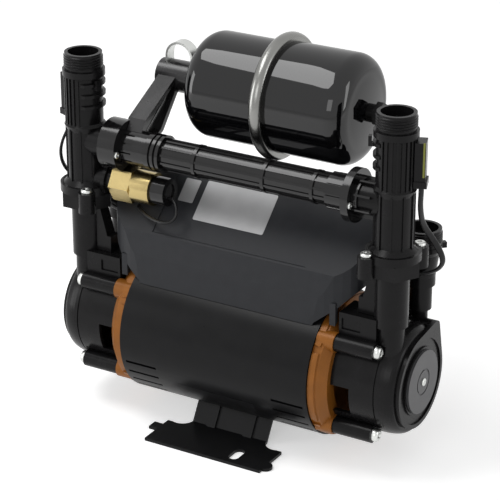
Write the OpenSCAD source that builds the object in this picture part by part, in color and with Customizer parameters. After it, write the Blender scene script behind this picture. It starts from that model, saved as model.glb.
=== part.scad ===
// Twin-head shower booster pump: motor, two pump heads, outlet columns, bridge tube and pressure vessel.
// X runs along the motor shaft, Y away from the viewer, Z up. The foot stands on Z = 0.

/* [Motor] */
// Height of the motor shaft above the foot
axis_h = 65; // [60:0.5:80]
// Outer radius of the motor cover
cover_r = 52; // [50:0.5:56]
// Length of the motor cover
cover_len = 150; // [140:1:180]
// Wall of the motor cover
cover_wall = 2.4; // [2:0.1:3]
// Ventilation slots in each group
vent_count = 4; // [2:1:5]
// Length of a ventilation slot
vent_len = 25; // [15:1:30]
// Width of a ventilation slot
vent_w = 2; // [1:0.1:3]
// Radius of the shaft
shaft_r = 5; // [4:0.1:6]
// Radius of the rotor
rotor_r = 22; // [18:0.5:26]
// Length of the rotor and of the stator core
rotor_len = 70; // [50:1:80]
// Gap between rotor and stator
air_gap = 0.4; // [0.3:0.05:0.8]
// Outer radius of the stator core
stator_r = 40; // [38:0.5:42]
// Outer radius of the cooling fan
fan_r = 36; // [30:0.5:38]
// Blades of the cooling fan
fan_blades = 9; // [5:1:12]

/* [End shields] */
// Outer radius of the rim
rim_r = 50.8; // [49:0.1:54]
// Width of the rim along the shaft
rim_w = 5.5; // [4:0.5:8]
// Width of the tapered part of the shield
cone_w = 6.5; // [5:0.5:9]
// Outer radius of the ball bearings
bearing_r = 13; // [11:0.5:15]
// Width of the ball bearings
bearing_w = 8; // [6:0.5:10]
// Width of the four breaks in the rim
notch_w = 5; // [2:0.5:8]

/* [Pump heads] */
// Length of the adapter between end shield and pump body
adapter_len = 24.5; // [22:0.5:32]
// Outer radius of adapter and pump body
head_r = 39.5; // [38.5:0.5:42]
// Wall of adapter and pump body
head_wall = 3; // [2.5:0.1:4]
// Width of the pump body
body_w = 21.5; // [20:0.5:26]
// Outer radius at the front edge of the pump body
nose_r = 35; // [34:0.5:37]
// Radius of the impellers
impeller_r = 30; // [26:0.5:31]
// Vanes in each impeller
vane_count = 6; // [4:1:8]
// Distance of a tie screw from the shaft, across
tie_y = 32; // [31:0.5:34]
// Distance of a tie screw from the shaft, up or down
tie_z = 31; // [30:0.5:33]
// Radius of the long bosses that hold the tie screws
tie_boss_r = 6.2; // [5:0.1:7]
// Radius of the tie screws
screw_r = 2; // [1.5:0.1:2.5]
// Radius of the grey end discs
disc_r = 22.5; // [20:0.5:24]
// Thickness of the grey end discs
disc_t = 1.8; // [1.2:0.1:3]

/* [Ports] */
// Radius over the threads, for a three-quarter inch pipe thread
thread_r = 13.22; // [12:0.02:15]
// Length of the threads
thread_len = 12; // [9:0.5:16]
// Distance of the port columns beyond the adapter
port_in = 10; // [9:0.5:12]
// Distance of the outlet columns in front of the shaft
outlet_y = 19; // [17:0.5:20]
// Distance of the inlet ports behind the shaft
inlet_y = 25; // [24:0.5:28]
// Height of the column seat above the shaft
seat_h = 96.5; // [90:0.5:110]
// Thickness of the flange under the column
flange_t = 10.5; // [8:0.5:13]
// Radius over the corners of the flange
flange_r = 19.5; // [18.5:0.5:22]
// Radius of the bore through discharge pipe and flange
water_r = 6.5; // [5:0.1:7]
// Outer radius of the wide part of the discharge pipe
pipe_r = 11.6; // [10:0.1:13]
// Outer radius of the narrow part of the discharge pipe
pipe_low_r = 9.6; // [9:0.1:11]
// Height of the step in the discharge pipe above the shaft
pipe_step_h = 47.5; // [44:0.5:60]
// Height of the inlet rim above the shaft
inlet_h = 102; // [96:0.5:112]

/* [Outlet columns] */
// Length of the fluted lower part
flute_h = 43.5; // [42:0.5:52]
// Length of the ribbed upper part
barrel_h = 35; // [33:0.5:45]
// Length of the collar under the thread
collar_h = 5.5; // [4:0.5:8]
// Radius of the collar
collar_r = 15; // [14.6:0.1:17]
// Core radius of the column
column_r = 13; // [12.6:0.1:13.4]
// Height of the ribs on the column
rib_t = 1; // [0.5:0.1:1.5]
// Ribs round the upper part
rib_count = 24; // [12:1:36]
// Ribs round the lower part
flute_count = 10; // [6:1:14]
// Radius of the chamber for the flow float
chamber_r = 9.6; // [9:0.1:10]
// Upward travel of the flow floats
float_travel = 8; // [4:0.5:10]
// Length of the flow floats
float_len = 12; // [10:0.5:13]

/* [Bridge tube] */
// Height of the bridge tube above the column seat
bridge_h = 38.5; // [36:0.5:39]
// Outer radius of the bridge tube
tube_r = 10.5; // [10:0.1:12]
// Radius of the bore in the bridge tube
tube_bore_r = 7; // [5:0.1:7.4]
// Radius of the round end flanges
ring_r = 18.5; // [17:0.5:21]

/* [Pressure vessel] */
// Outer radius of the right shell
tank_r = 39; // [34:0.5:41]
// Half length of the vessel
tank_half = 63; // [56:1:70]
// Radius of the rounded ends of the vessel
tank_end_r = 13; // [10:0.5:18]
// Wall of the vessel
tank_wall = 1.2; // [0.8:0.1:2]
// Outer radius of the rolled ring
tank_ring_r = 45; // [42:0.5:48]
// Width of the rolled ring
tank_ring_w = 9; // [7:0.5:12]
// Distance of the vessel axis behind the shaft
tank_y = 35; // [34:0.5:40]
// Height of the vessel axis above the bridge tube
tank_up = 37; // [36.5:0.5:44]
// Place of the middle of the vessel along the shaft
tank_x = 8.5; // [4:0.5:12]
// Radius of the boss on the arm
arm_boss_r = 11.5; // [10:0.1:13]

/* [Terminal cover] */
// How far the terminal cover stands out beyond each end of the motor cover
box_over = 24; // [22:0.5:25]
// Distance of the front face from the shaft
box_front = 34; // [32:0.5:36]
// Distance of the rear face from the shaft
box_rear = 39.5; // [37:0.5:42]
// Height of the top above the shaft
box_top = 119; // [112:0.5:120]
// Wall of the terminal cover
box_wall = 2.4; // [1.8:0.1:3]

/* [Foot] */
// Width of the foot along the shaft
foot_w = 93.8; // [84:0.2:110]
// Length of the foot across the shaft
foot_l = 130.8; // [124:0.2:150]
// Thickness of the foot plate
foot_t = 2.2; // [1.5:0.1:3]
// Width of the neck of the foot
neck_w = 61; // [50:0.5:70]
// Width of the fixing slots
slot_w = 7.5; // [5:0.1:9]
// Full length of the fixing slots
slot_len = 15; // [11:0.5:18]
// Distance of the slots from the middle along the shaft
slot_x = 21.6; // [14:0.2:26]

/* [Hidden] */
$fn = 64;

// Shared fits and overruns
over = 1;
fit = 0.05;
gap = 0.3;
seal_gap = 0.1;

// Places along the shaft, from the middle outwards
cover_half = cover_len / 2;
shield_x = cover_half + rim_w;
adapter_x = shield_x + cone_w;
body_x = adapter_x + adapter_len;
nose_x = body_x + body_w;
port_x = body_x + port_in;
plug_t = 5.5;
cap_t = 3;
cap_x = nose_x + cap_t;
cap_back_x = nose_x - plug_t;

box_half = cover_half + box_over;

// Motor inside
cover_in = cover_r - cover_wall;
shaft_out = 12.5;
shaft_half = body_x + shaft_out;
web_t = 5;
bearing_back = 15;
bearing_in = cover_half - bearing_back;
bearing_lip = 2;
bearing_hole = shaft_r + 2;
boss_wall = 4;
spigot_t = 3.4;
skirt_t = 2.8;
skirt_lap = 5;
winding_in = 25;
winding_t = 11;
winding_w = 12;
fan_back = 2;
fan_x = bearing_in - bearing_lip - fan_back;
fan_w = 7;
fan_hub_r = 11;
fan_blade_t = 1.6;
fan_disc_t = 1.4;
vent_first = 17;
vent_pitch = 10.5;
vent_edge = 3.4;
pillar_r = 3;
pillar_x = 46;
pillar_y = 18;
board_h = 62;
board_t = 1.6;

// Saddle and foot
saddle_t = 1.8;
saddle_half = 62;
pocket_lap_a = 3;
pocket_gap_a = 0.3;
saddle_r = cover_r;
pocket_r = cover_r - saddle_t - seal_gap;
saddle_pitch_x = 20;
foot_screw_r = 1.8;
foot_head_r = 3.6;
foot_head_t = 2;
foot_boss_r = 4.5;
foot_screw_in = 6;
tongue_l = 31;
slot_y = 53.3;
neck_foot_y = 26;
neck_top_y = 18;
neck_curve_r = 9;
foot_ear_r = 5;
foot_ear_y = 57;
foot_tab_y = 45;
foot_tab_w = 8;
foot_tab_out = 7;
foot_rib_x = 15;
foot_rib_w = 7;
foot_rib_t = 1.6;

// Pump head
ear_r = 7.2;
ear_out = 1;
notch_d = 1.2;
tie_a = atan2(tie_z, tie_y);
notch_a = asin((ear_r + notch_w / 2) / rim_r);
cone_low_r = 44;
cone_pocket_r = 34;
web_floor = 3;
seal_r = 11;
seal_w = 8;
seal_in = 9.5;
adapter_front_t = 4;
window_len = 14;
window_up = 2.5;
window_down = 18.5;
box_up = 53;
box_down = 36;
box_y = 30;
box_in_y = 8;
recess_t = 1.2;
recess_w = 14;
recess_h = 8;
recess_up = 41;
recess_in = 3;
groove_w = 0.9;
groove_t = 0.7;
groove_in = 7.8;
cavity_step = 3.5;
cavity_r = head_r - head_wall - cavity_step;
head_len = 4.5;
head_side_r = 4.8;
boss_out = 5.5;
tie_in = 9;
spot_gap = 0.2;
screw_hole_r = screw_r + gap;
pilot_r = screw_r + fit;
wall_up = 65;
wall_low = box_up + gap;
wall_y0 = 24;
wall_y1 = 14;
gusset_low = 19.5;
gusset_high = 13.5;
lobe_y = 22;
lobe_h = 31;
lobe_r = 5.5;
lobe_bore_r = 3;
suction_r = 8;
suction_low_r = 5.5;
suction_step_h = 42.5;
suction_top_h = 66.5;
suction_bore_r = 4;
suction_sleeve = 6;
cap_inset = 1.5;
cap_r = nose_r - cap_inset;
plug_r = cavity_r - fit;
body_seal_t = 1.1;
channel_w = 7.5;
channel_t = 2.8;
channel_front = 2.2;
eye_r = 9.5;
cap_groove_r0 = 24.5;
cap_groove_r1 = 30.5;
cap_groove_t = 1.2;
disc_ring_r = 9.5;
disc_ring_w = 1.2;
disc_ring_t = 0.5;
disc_screw_r = 1.5;
disc_screw_len = 2;
disc_head_r = 2.8;
disc_head_t = 1.2;

// Impeller
shroud_t = 2;
vane_t = 1.8;
vane_h = 8;
imp_x = body_x + 2.5;
hub_r = 8;
hub_len = 7;
vane_r = 22;
vane_off = 14;
vane_sink = 0.4;
rim_lip = 1;

// Column stack above the shaft
ring_t = 6;
ring_wide = 19;
ear_t = 4.5;
col_ear_r = 6;
col_screw_d = 20.4;
col_screw_a = 57;
col_head_r = 4.2;
col_head_t = 2.8;
col_screw_in = 11;
flare_h = 3.5;
flare_r = 16.5;
shoulder_h = 4;
shoulder_share = 1.7;
shoulder_r = column_r + shoulder_share * rib_t;
flute_top = seat_h + ring_t + flute_h;
barrel_top = flute_top + barrel_h;
collar_top = barrel_top + collar_h;
rim_top = collar_top + thread_len;
low_bore_r = 8;
rim_bore_r = 10.8;
rim_bore_h = 7;
seat_up = 3;
float_z = flute_top + seat_up;
chamber_top = float_z + float_len + float_travel;
float_r = chamber_r - gap;
float_core_r = 6.4;
fin_count = 4;
fin_w = 2.4;
stop_t = 1.6;
stop_w = 1.6;
stop_bar = 2.2;
rib_w = 1.3;
scallop_count = 3;
scallop_t = 2.2;
scallop_pitch = 8;
scallop_down = 5;
hook_t = 2.4;
hook_out = 5;
hook_w = 4;
hook_h = 7;
lug_a = 45;
stub_r = 11.5;
stub_len = 21.5;
stub_bore_r = 8.4;
switch_h = 10.5;
switch_boss_r = 8.5;
switch_boss_len = 26.5;
switch_flange_r = 10.5;
switch_flange_t = 3;
switch_flange_in = 18;
switch_bore_r = 5;
col_seal_r = 12.4;
col_seal_t = 1.4;

// Flow sensor
sensor_a = 20;
sensor_out = 7;
sensor_w = 12;
sensor_h = 31;
sensor_up = 2.5;
sensor_foot_h = 4.5;
sensor_step = 1.2;

// Bridge
spigot_len = 8;
tee_ring_w = 14;
tee_barrel_r = 12.5;
tee_barrel_w = 20;
tee_slot_count = 12;
tee_slot_w = 1.2;
tee_slot_len = 9;
tee_slot_t = 1.2;
nut_w = 12;
nut_r = 13.2;
nut_groove_w = 1.6;
nut_groove_t = 1.4;
socket_ring_w = 5.5;
socket_ring_in = 4;
socket_r = 13;
sleeve_w = 15;
sleeve_r = 12.2;
sleeve_lap = 8;
blind_t = 3;
spline_count = 12;
spline_w = 1.6;
spline_t = 0.8;
hoop_w = 2.4;
hoop_t = 1.2;
hoop_shares = [0.2, 0.62, 0.91];
seal_floor_r = 6.8;
seal_minor = (stub_bore_r - seal_floor_r - fit) / 2;
seal_major = (stub_bore_r + seal_floor_r) / 2;
disc_screw_d = 15.4;
disc_screw_a = 187;
bscrew_r = 1.3;
bscrew_len = 4;
bscrew_head_r = 2.4;
bscrew_head_t = 1.6;
branch_r = 3;

// Pressure switch
hex_r = 13.4;
hex_w = 16;
switch_round_r = 11.7;
switch_round_w = 15.4;
switch_cap_r = 10;
switch_cap_w = 11.6;
switch_cap_bore_r = 6;
switch_spigot_len = 8;

// Arm and vessel
arm_x = 80.5;
arm_w = 14;
arm_web = 5;
arm_front_y = 4;
arm_front_up = 20;
arm_top_y = 2;
arm_top_up = 7.5;
arm_rear_y = 8;
arm_rear_up = 9;
arm_low_y = 26.5;
arm_low_up = 5.5;
arm_flange_t = 3.4;
nozzle_r = 6;
nozzle_len = 14;
nozzle_bore_r = 2.6;
arm_boss_out = 10;
clip_in = 9;
clip_w = 22;
clip_h = 16;
clip_strip = 1.6;
clip_d = 9;
clip_leg = 5;
crown = 2;
shell_step = 1.2;
left_shell_r = tank_r - shell_step;
ring_roll = 3.2;
diaphragm_t = 1.4;
tank_left_x = tank_x - tank_half - crown - diaphragm_t / 2;
fitting_r = 6.4;
fitting_len = 6;
fitting_nut_r = 9;
fitting_nut_w = 4.5;
fitting_stem = 4;

// Terminal cover
box_low = 42;
flat_in = 35;
wing_in1 = 30;
wing_in2 = 13;
panel_in = 38;
crease_share = 0.4;
back_run_share = 1.6;
crease_h = 78;
crease_y = 30;
slope_y = 8;
slope_h = 118;
box_back_corner = 9;
box_back_drop = 8;
box_flat = box_half - flat_in;
box_corner_y = 11;
wing_x1 = box_half - wing_in1;
wing_x2 = box_half - wing_in2;
wing_x3 = box_half;
wing_h2 = 54.8;
wing_h3 = 68;
corner_steps = 8;
panel_half = box_half - panel_in;
panel_t = 0.8;
leg_w = 4.5;
leg_y = 31;
leg_t = 3.6;
leg_low = 42;
leg_gap = 0.6;
cap_can_r = 14;
cap_can_len = 62;
board_l = 120;
board_d = 52;

// Cord routes, points chosen by hand; the right lead, the left lead, and the switch lead
// They were chosen at these sizes, and each end moves with the piece that holds it
route_axis = 65;
route_port = 121.5;
route_seat = 96.5;
route_box = 99;
lead_r = 1.4;
lead_sides = 8;
switch_lead_r = 1.2;
right_route = [[137.5, -13, 213.4], [137.5, -13, 208], [136.4, -11, 199], [135.4, -7.6, 191],
    [134.8, -3.4, 183.6], [135.4, 1.6, 176.4], [137.4, 6.2, 169.4], [140, 9.8, 162.2],
    [142, 12.8, 155], [141.6, 15, 148.4], [138, 15.4, 143], [132, 14, 139.6],
    [125.4, 12, 137.8], [118, 10, 136.8], [110, 8.6, 136.2], [104, 8, 136], [99.1, 8, 136]];
left_route = [[-137.5, -13, 213.4], [-137.5, -13, 208], [-140, -15.4, 200.6], [-142.4, -17.4, 193.6],
    [-143.8, -18.4, 186.4], [-144, -17.6, 179.2], [-144, -14.4, 172.6], [-144.2, -9.4, 167],
    [-144.4, -3.6, 162], [-144, 2.6, 157], [-142.6, 8, 151.4], [-139, 12, 145.8],
    [-133, 13.4, 141.4], [-126, 12.4, 138.6], [-118, 10.4, 137], [-110, 8.8, 136.2],
    [-104, 8, 136], [-99.1, 8, 136]];
switch_route = [[-52, -22, 169], [-48.4, -22.4, 168.8], [-44.8, -24, 167], [-42.2, -26.4, 163.8],
    [-41.4, -28.8, 159.8], [-43.6, -30.6, 156.4], [-48, -31.4, 154.6], [-53.4, -31, 154],
    [-59, -29.6, 154], [-64.6, -27.6, 154.4], [-70, -25, 155], [-74.6, -22.2, 155.8],
    [-77.6, -19.6, 156.4], [-78.6, -18, 156.6]];

port_move = port_x - route_port;
box_move = box_half - route_box;
rise = axis_h - route_axis;
seat_rise = rise + seat_h - route_seat;
function moved(p, s, e) = [for (i = [0 : len(p) - 1]) let (t = i / (len(p) - 1)) p[i] + (1 - t) * s
    + t * e];

// Helper shapes
module on_axis() { translate([0, 0, axis_h]) children(); }
module flip() { mirror([1, 0, 0]) children(); }
module both() { children(); flip() children(); }
module bar_x(x0, x1, r) { translate([x0, 0, 0]) rotate([0, 90, 0]) cylinder(r = r, h = x1 - x0); }
module ring_x(x0, x1, r0, r1) {
    difference() {
        bar_x(x0, x1, r1);
        bar_x(x0 - over, x1 + over, r0);
    }
}
module box_at(x0, x1, y0, y1, z0, z1) { translate([x0, y0, z0]) cube([x1 - x0, y1 - y0, z1 - z0]); }
module ties() { for (sy = [-1, 1], sz = [-1, 1]) translate([0, sy * tie_y, sz * tie_z]) children(); }
module at_port() { translate([port_x, -outlet_y, 0]) children(); }
module col_screw_places() {
    for (a = [col_screw_a, col_screw_a + 180]) rotate(a) translate([col_screw_d, 0, 0]) children();
}
module at_bridge() { translate([0, -outlet_y, seat_h + bridge_h]) children(); }
module at_tank() { translate([tank_x, tank_y, seat_h + bridge_h + tank_up]) children(); }
// turn a solid of revolution about Z so that its axis runs along +X
module spin_x() { rotate([0, 90, 0]) children(); }

function arc_pts(cx, cy, rx, ry, a0, a1, n) =
    [for (i = [0 : n]) [cx + rx * cos(a0 + (a1 - a0) * i / n), cy + ry * sin(a0 + (a1 - a0) * i / n)]];
function unit(v) = v / norm(v);

// One unbroken tube swept along a list of points with frames carried from point to point
function tangent_at(p, i) =
    i == 0 ? unit(p[1] - p[0]) : i == len(p) - 1 ? unit(p[i] - p[i - 1]) : unit(p[i + 1] - p[i - 1]);
function carried(u, t) = unit(u - t * (u * t));
function frames(p, u0) = [for (i = 0, u = carried(u0, tangent_at(p, 0)); i < len(p);
    i = i + 1, u = i < len(p) ? carried(u, tangent_at(p, i)) : u) u];
module swept_tube(p, r, n) {
    f = frames(p, [0, 1, 0]);
    pts = [for (i = [0 : len(p) - 1]) let (t = tangent_at(p, i), u = f[i], w = cross(t, u))
        for (k = [0 : n - 1]) p[i] + r * (cos(360 * k / n) * u + sin(360 * k / n) * w)];
    sides = [for (i = [0 : len(p) - 2]) for (k = [0 : n - 1]) let (a = i * n + k, b = i * n + (k + 1) % n)
        each [[a, b, b + n], [a, b + n, a + n]]];
    polyhedron(points = pts, faces = concat([for (s = sides) [s[2], s[1], s[0]]],
        [[for (k = [0 : n - 1]) k]],
        [[for (k = [n - 1 : -1 : 0]) (len(p) - 1) * n + k]]), convexity = 6);
}

// ---- foot ----
module foot_outline() {
    difference() {
        union() {
            translate([-foot_w / 2, -foot_l / 2]) square([foot_w, tongue_l]);
            translate([-neck_w / 2 - neck_curve_r, -foot_l / 2 + tongue_l - over])
                square([neck_w + 2 * neck_curve_r, foot_l / 2 - tongue_l - neck_foot_y + over]);
            translate([foot_w / 2, -foot_ear_y]) circle(r = foot_ear_r);
            translate([-foot_w / 2 - foot_tab_out, -foot_tab_y - foot_tab_w / 2])
                square([foot_tab_out + over, foot_tab_w]);
        }
        for (s = [-1, 1]) translate([s * (neck_w / 2 + neck_curve_r),
            -neck_foot_y]) circle(r = neck_curve_r);
        translate([slot_x, -slot_y]) {
            translate([-slot_w / 2, -(slot_len - slot_w) / 2]) square([slot_w, slot_len - slot_w]);
            for (s = [-1, 1]) translate([0, s * (slot_len - slot_w) / 2]) circle(d = slot_w);
        }
    }
}
module neck_side() {
    top = axis_h - sqrt(pow(saddle_r, 2) - pow(neck_top_y, 2));
    polygon([[-neck_foot_y - foot_t, 0], [-neck_foot_y, 0], [-neck_top_y + foot_t, top + foot_t / 2],
        [-neck_top_y, top + foot_t / 2]]);
}
module half_foot() {
    linear_extrude(foot_t) foot_outline();
    rotate([90, 0, 90]) translate([0, 0, -neck_w / 2]) linear_extrude(neck_w) neck_side();
    for (s = [-1, 1]) translate([s * foot_rib_x - foot_rib_w / 2, 0, 0]) rotate([90, 0, 90])
        linear_extrude(foot_rib_w) translate([-foot_rib_t, 0]) neck_side();
}
module foot_bracket() color("#26272a") {
    difference() {
        union() {
            half_foot();
            mirror([0, 1, 0]) half_foot();
        }
        on_axis() bar_x(-neck_w, neck_w, saddle_r - saddle_t);
    }
    difference() {
        on_axis() intersection() {
            ring_x(-neck_w / 2, neck_w / 2, saddle_r - saddle_t, saddle_r);
            rotate([0, 90, 0]) linear_extrude(neck_w, center = true)
                polygon([[0, 0], [cover_r * 2 * cos(saddle_half), -cover_r * 2 * sin(saddle_half)],
                    [cover_r * 2, -cover_r * 2 * sin(saddle_half)], [cover_r * 2,
                        cover_r * 2 * sin(saddle_half)],
                    [cover_r * 2 * cos(saddle_half), cover_r * 2 * sin(saddle_half)]]);
        }
        for (s = [-1, 1]) translate([s * saddle_pitch_x, 0, 0]) cylinder(r = foot_screw_r + gap,
            h = axis_h);
    }
}
module foot_screws() color("silver") for (s = [-1, 1]) translate([s * saddle_pitch_x, 0,
    axis_h - saddle_r]) {
    translate([0, 0, -foot_head_t]) cylinder(r = foot_head_r, h = foot_head_t);
    cylinder(r = foot_screw_r, h = saddle_t + foot_screw_in);
}

// ---- motor ----
module vent_group() {
    for (i = [0 : vent_count - 1]) rotate([vent_first + vent_pitch * i, 0, 0])
        box_at(-cover_half + vent_edge, -cover_half + vent_edge + vent_len, -cover_r - over,
            -cover_in + over,
            -vent_w / 2, vent_w / 2);
}
module motor_cover() color("#2b2c2e") on_axis() {
    difference() {
        union() {
            difference() {
                bar_x(-cover_half, cover_half, cover_r);
                bar_x(-cover_half - over, cover_half + over, cover_in);
            }
            intersection() {
                ring_x(-neck_w / 2 - cover_wall, neck_w / 2 + cover_wall, pocket_r - cover_wall,
                    cover_r - over);
                pocket_sector(saddle_half + pocket_lap_a);
            }
            for (s = [-1, 1]) translate([s * saddle_pitch_x, 0, -pocket_r])
                cylinder(r = foot_boss_r, h = foot_screw_in + cover_wall);
            for (sx = [-1, 1], sy = [-1, 1]) translate([sx * pillar_x, sy * pillar_y,
                cover_r - cover_wall * 3])
                cylinder(r = pillar_r, h = board_h - cover_r + cover_wall * 3);
        }
        intersection() {
            ring_x(-neck_w / 2 - seal_gap, neck_w / 2 + seal_gap, pocket_r, cover_r + over);
            pocket_sector(saddle_half + pocket_gap_a);
        }
        for (s = [-1, 1]) translate([s * saddle_pitch_x, 0, -cover_r])
            cylinder(r = foot_screw_r + fit, h = saddle_t + foot_screw_in + fit);
        both() {
            vent_group();
            mirror([0, 1, 0]) vent_group();
        }
    }
}
module pocket_sector(a) {
    rotate([0, 90, 0]) linear_extrude(neck_w * 2, center = true)
        polygon([[0, 0], [cover_r * 2 * cos(a), -cover_r * 2 * sin(a)], [cover_r * 2,
            -cover_r * 2 * sin(a)],
            [cover_r * 2, cover_r * 2 * sin(a)], [cover_r * 2 * cos(a), cover_r * 2 * sin(a)]]);
}
module stator_core() color("#8c8f93") on_axis() ring_x(-rotor_len / 2, rotor_len / 2, rotor_r + air_gap,
    stator_r);
module stator_winding() color("#b5703a") on_axis() both()
    translate([rotor_len / 2, 0, 0]) spin_x() rotate_extrude() translate([winding_in, 0]) union() {
        square([winding_t, winding_w - winding_t / 2]);
        translate([winding_t / 2, winding_w - winding_t / 2]) circle(d = winding_t);
    }
module rotor_core() color("#75787c") on_axis() ring_x(-rotor_len / 2, rotor_len / 2, shaft_r + fit,
    rotor_r);
module motor_shaft() color("#c9ccd0") on_axis() bar_x(-shaft_half, shaft_half, shaft_r);
module cooling_fan() color("#3a3d42") on_axis() difference() {
    union() {
        bar_x(-fan_x, -fan_x + fan_w, fan_hub_r);
        bar_x(-fan_x, -fan_x + fan_disc_t, fan_r);
        for (i = [0 : fan_blades - 1]) rotate([360 * i / fan_blades, 0, 0])
            box_at(-fan_x + fan_disc_t / 2, -fan_x + fan_w - fan_disc_t, fan_hub_r - over, fan_r - over,
                -fan_blade_t / 2, fan_blade_t / 2);
    }
    bar_x(-fan_x - over, -fan_x + fan_w + over, shaft_r + fit);
}
module ball_bearings() color("#b9bcc0") on_axis() both() difference() {
    ring_x(bearing_in, bearing_in + bearing_w, shaft_r + fit, bearing_r - fit);
    for (x = [bearing_in - over, bearing_in + bearing_w - disc_ring_t])
        ring_x(x, x + over + disc_ring_t, shaft_r + (bearing_r - shaft_r) / 3,
            bearing_r - (bearing_r - shaft_r) / 3);
}

// ---- end shields ----
module end_shield() on_axis() difference() {
    union() {
        spin_x() rotate_extrude() polygon([
            [bearing_hole, cover_half - web_t], [bearing_hole, cover_half + web_floor],
            [cone_pocket_r, cover_half + web_floor], [cone_pocket_r, adapter_x], [cone_low_r, adapter_x],
            [rim_r - disc_ring_w, shield_x + disc_ring_w], [rim_r - disc_ring_w, shield_x],
            [rim_r, shield_x - disc_ring_t], [rim_r, cover_half + gap], [cover_in - seal_gap,
                cover_half + gap],
            [cover_in - seal_gap, cover_half - web_t], [cover_in - seal_gap - spigot_t, cover_half - web_t],
            [cover_in - seal_gap - spigot_t, cover_half], [stator_r + skirt_t, cover_half],
            [stator_r + skirt_t, rotor_len / 2 - skirt_lap], [stator_r + fit, rotor_len / 2 - skirt_lap],
            [stator_r + fit, cover_half - web_t]]);
        bar_x(bearing_in - bearing_lip, cover_half, bearing_r + boss_wall);
        ties() bar_x(cover_half + gap, adapter_x + ear_out, ear_r);
    }
    bar_x(bearing_in - bearing_lip - over, bearing_in + bearing_w, bearing_r);
    bar_x(bearing_in, adapter_x, bearing_hole);
    ties() bar_x(adapter_x - tie_in, adapter_x + ear_out + over, pilot_r);
    for (sy = [0, 1], sz = [0, 1]) mirror([0, sy, 0]) mirror([0, 0, sz]) rotate([tie_a - notch_a, 0, 0])
        box_at(cover_half + gap, shield_x + over, rim_r - notch_d, rim_r + over, -notch_w / 2, notch_w / 2);
    for (i = [0 : 5]) rotate([60 * i + 30, 0, 0])
        box_at(rotor_len / 2 + gap, cover_half - web_t, stator_r - over, stator_r + skirt_t + over,
            -ear_r, ear_r);
}
module right_end_shield() color("#c6803c") end_shield();
module left_end_shield() color("#c6803c") flip() end_shield();

// ---- adapters ----
module adapter() on_axis() difference() {
    union() {
        ring_x(adapter_x, body_x, head_r - head_wall, head_r);
        bar_x(body_x - adapter_front_t, body_x, head_r - over);
        bar_x(body_x - seal_in - head_wall, body_x, seal_r + head_wall);
        ties() bar_x(adapter_x + ear_out, body_x, tie_boss_r);
        difference() {
            box_at(adapter_x + ear_out, body_x, -box_y, -box_in_y, lobe_h - head_wall, box_up);
            bar_x(adapter_x, body_x + over, head_r - head_wall);
            box_at(adapter_x + recess_in, adapter_x + recess_in + recess_w, -box_y - over,
                -box_y + recess_t,
                recess_up, recess_up + recess_h);
        }
    }
    bar_x(body_x - seal_in, body_x + over, seal_r);
    bar_x(adapter_x, body_x + over, bearing_hole);
    ties() bar_x(adapter_x, body_x + over, screw_hole_r);
    ties() bar_x(adapter_x - over, adapter_x + ear_out, ear_r + gap);
    at_port() translate([0, 0, pipe_step_h - gap]) cylinder(r = pipe_r + gap, h = box_up);
    box_at(adapter_x - over, adapter_x + window_len, -head_r - over, -head_r / 2, -window_down, window_up);
    box_at(adapter_x - over, adapter_x + window_len, head_r / 2, head_r + over, -window_down, window_up);
}
module right_adapter() color("#1f2022") adapter();
module left_adapter() color("#1f2022") flip() adapter();
module shaft_seals() color("#5d6166") on_axis() both() union() {
    ring_x(body_x - seal_in, body_x - seal_in + seal_w, shaft_r + fit, seal_r - fit);
}

// ---- impellers ----
module impeller() on_axis() difference() {
    union() {
        bar_x(imp_x, imp_x + shroud_t, impeller_r);
        bar_x(imp_x - rim_lip, imp_x + hub_len, hub_r);
        ring_x(imp_x + shroud_t + vane_h, imp_x + 2 * shroud_t + vane_h - gap, eye_r, impeller_r);
        for (i = [0 : vane_count - 1]) rotate([360 * i / vane_count, 0,
            0]) translate([imp_x + shroud_t - vane_sink, 0, 0])
            rotate([90, 0, 90]) linear_extrude(vane_h + 2 * vane_sink) intersection() {
                translate([vane_off, 0]) difference() {
                    circle(r = vane_r);
                    circle(r = vane_r - vane_t);
                }
                difference() {
                    circle(r = impeller_r - vane_sink);
                    circle(r = eye_r + vane_sink);
                }
                square([impeller_r, impeller_r]);
            }
    }
    bar_x(imp_x - rim_lip - over, imp_x + hub_len + over, shaft_r + fit);
}
module right_impeller() color("#d9c28a") impeller();
module left_impeller() color("#d9c28a") flip() impeller();

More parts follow.
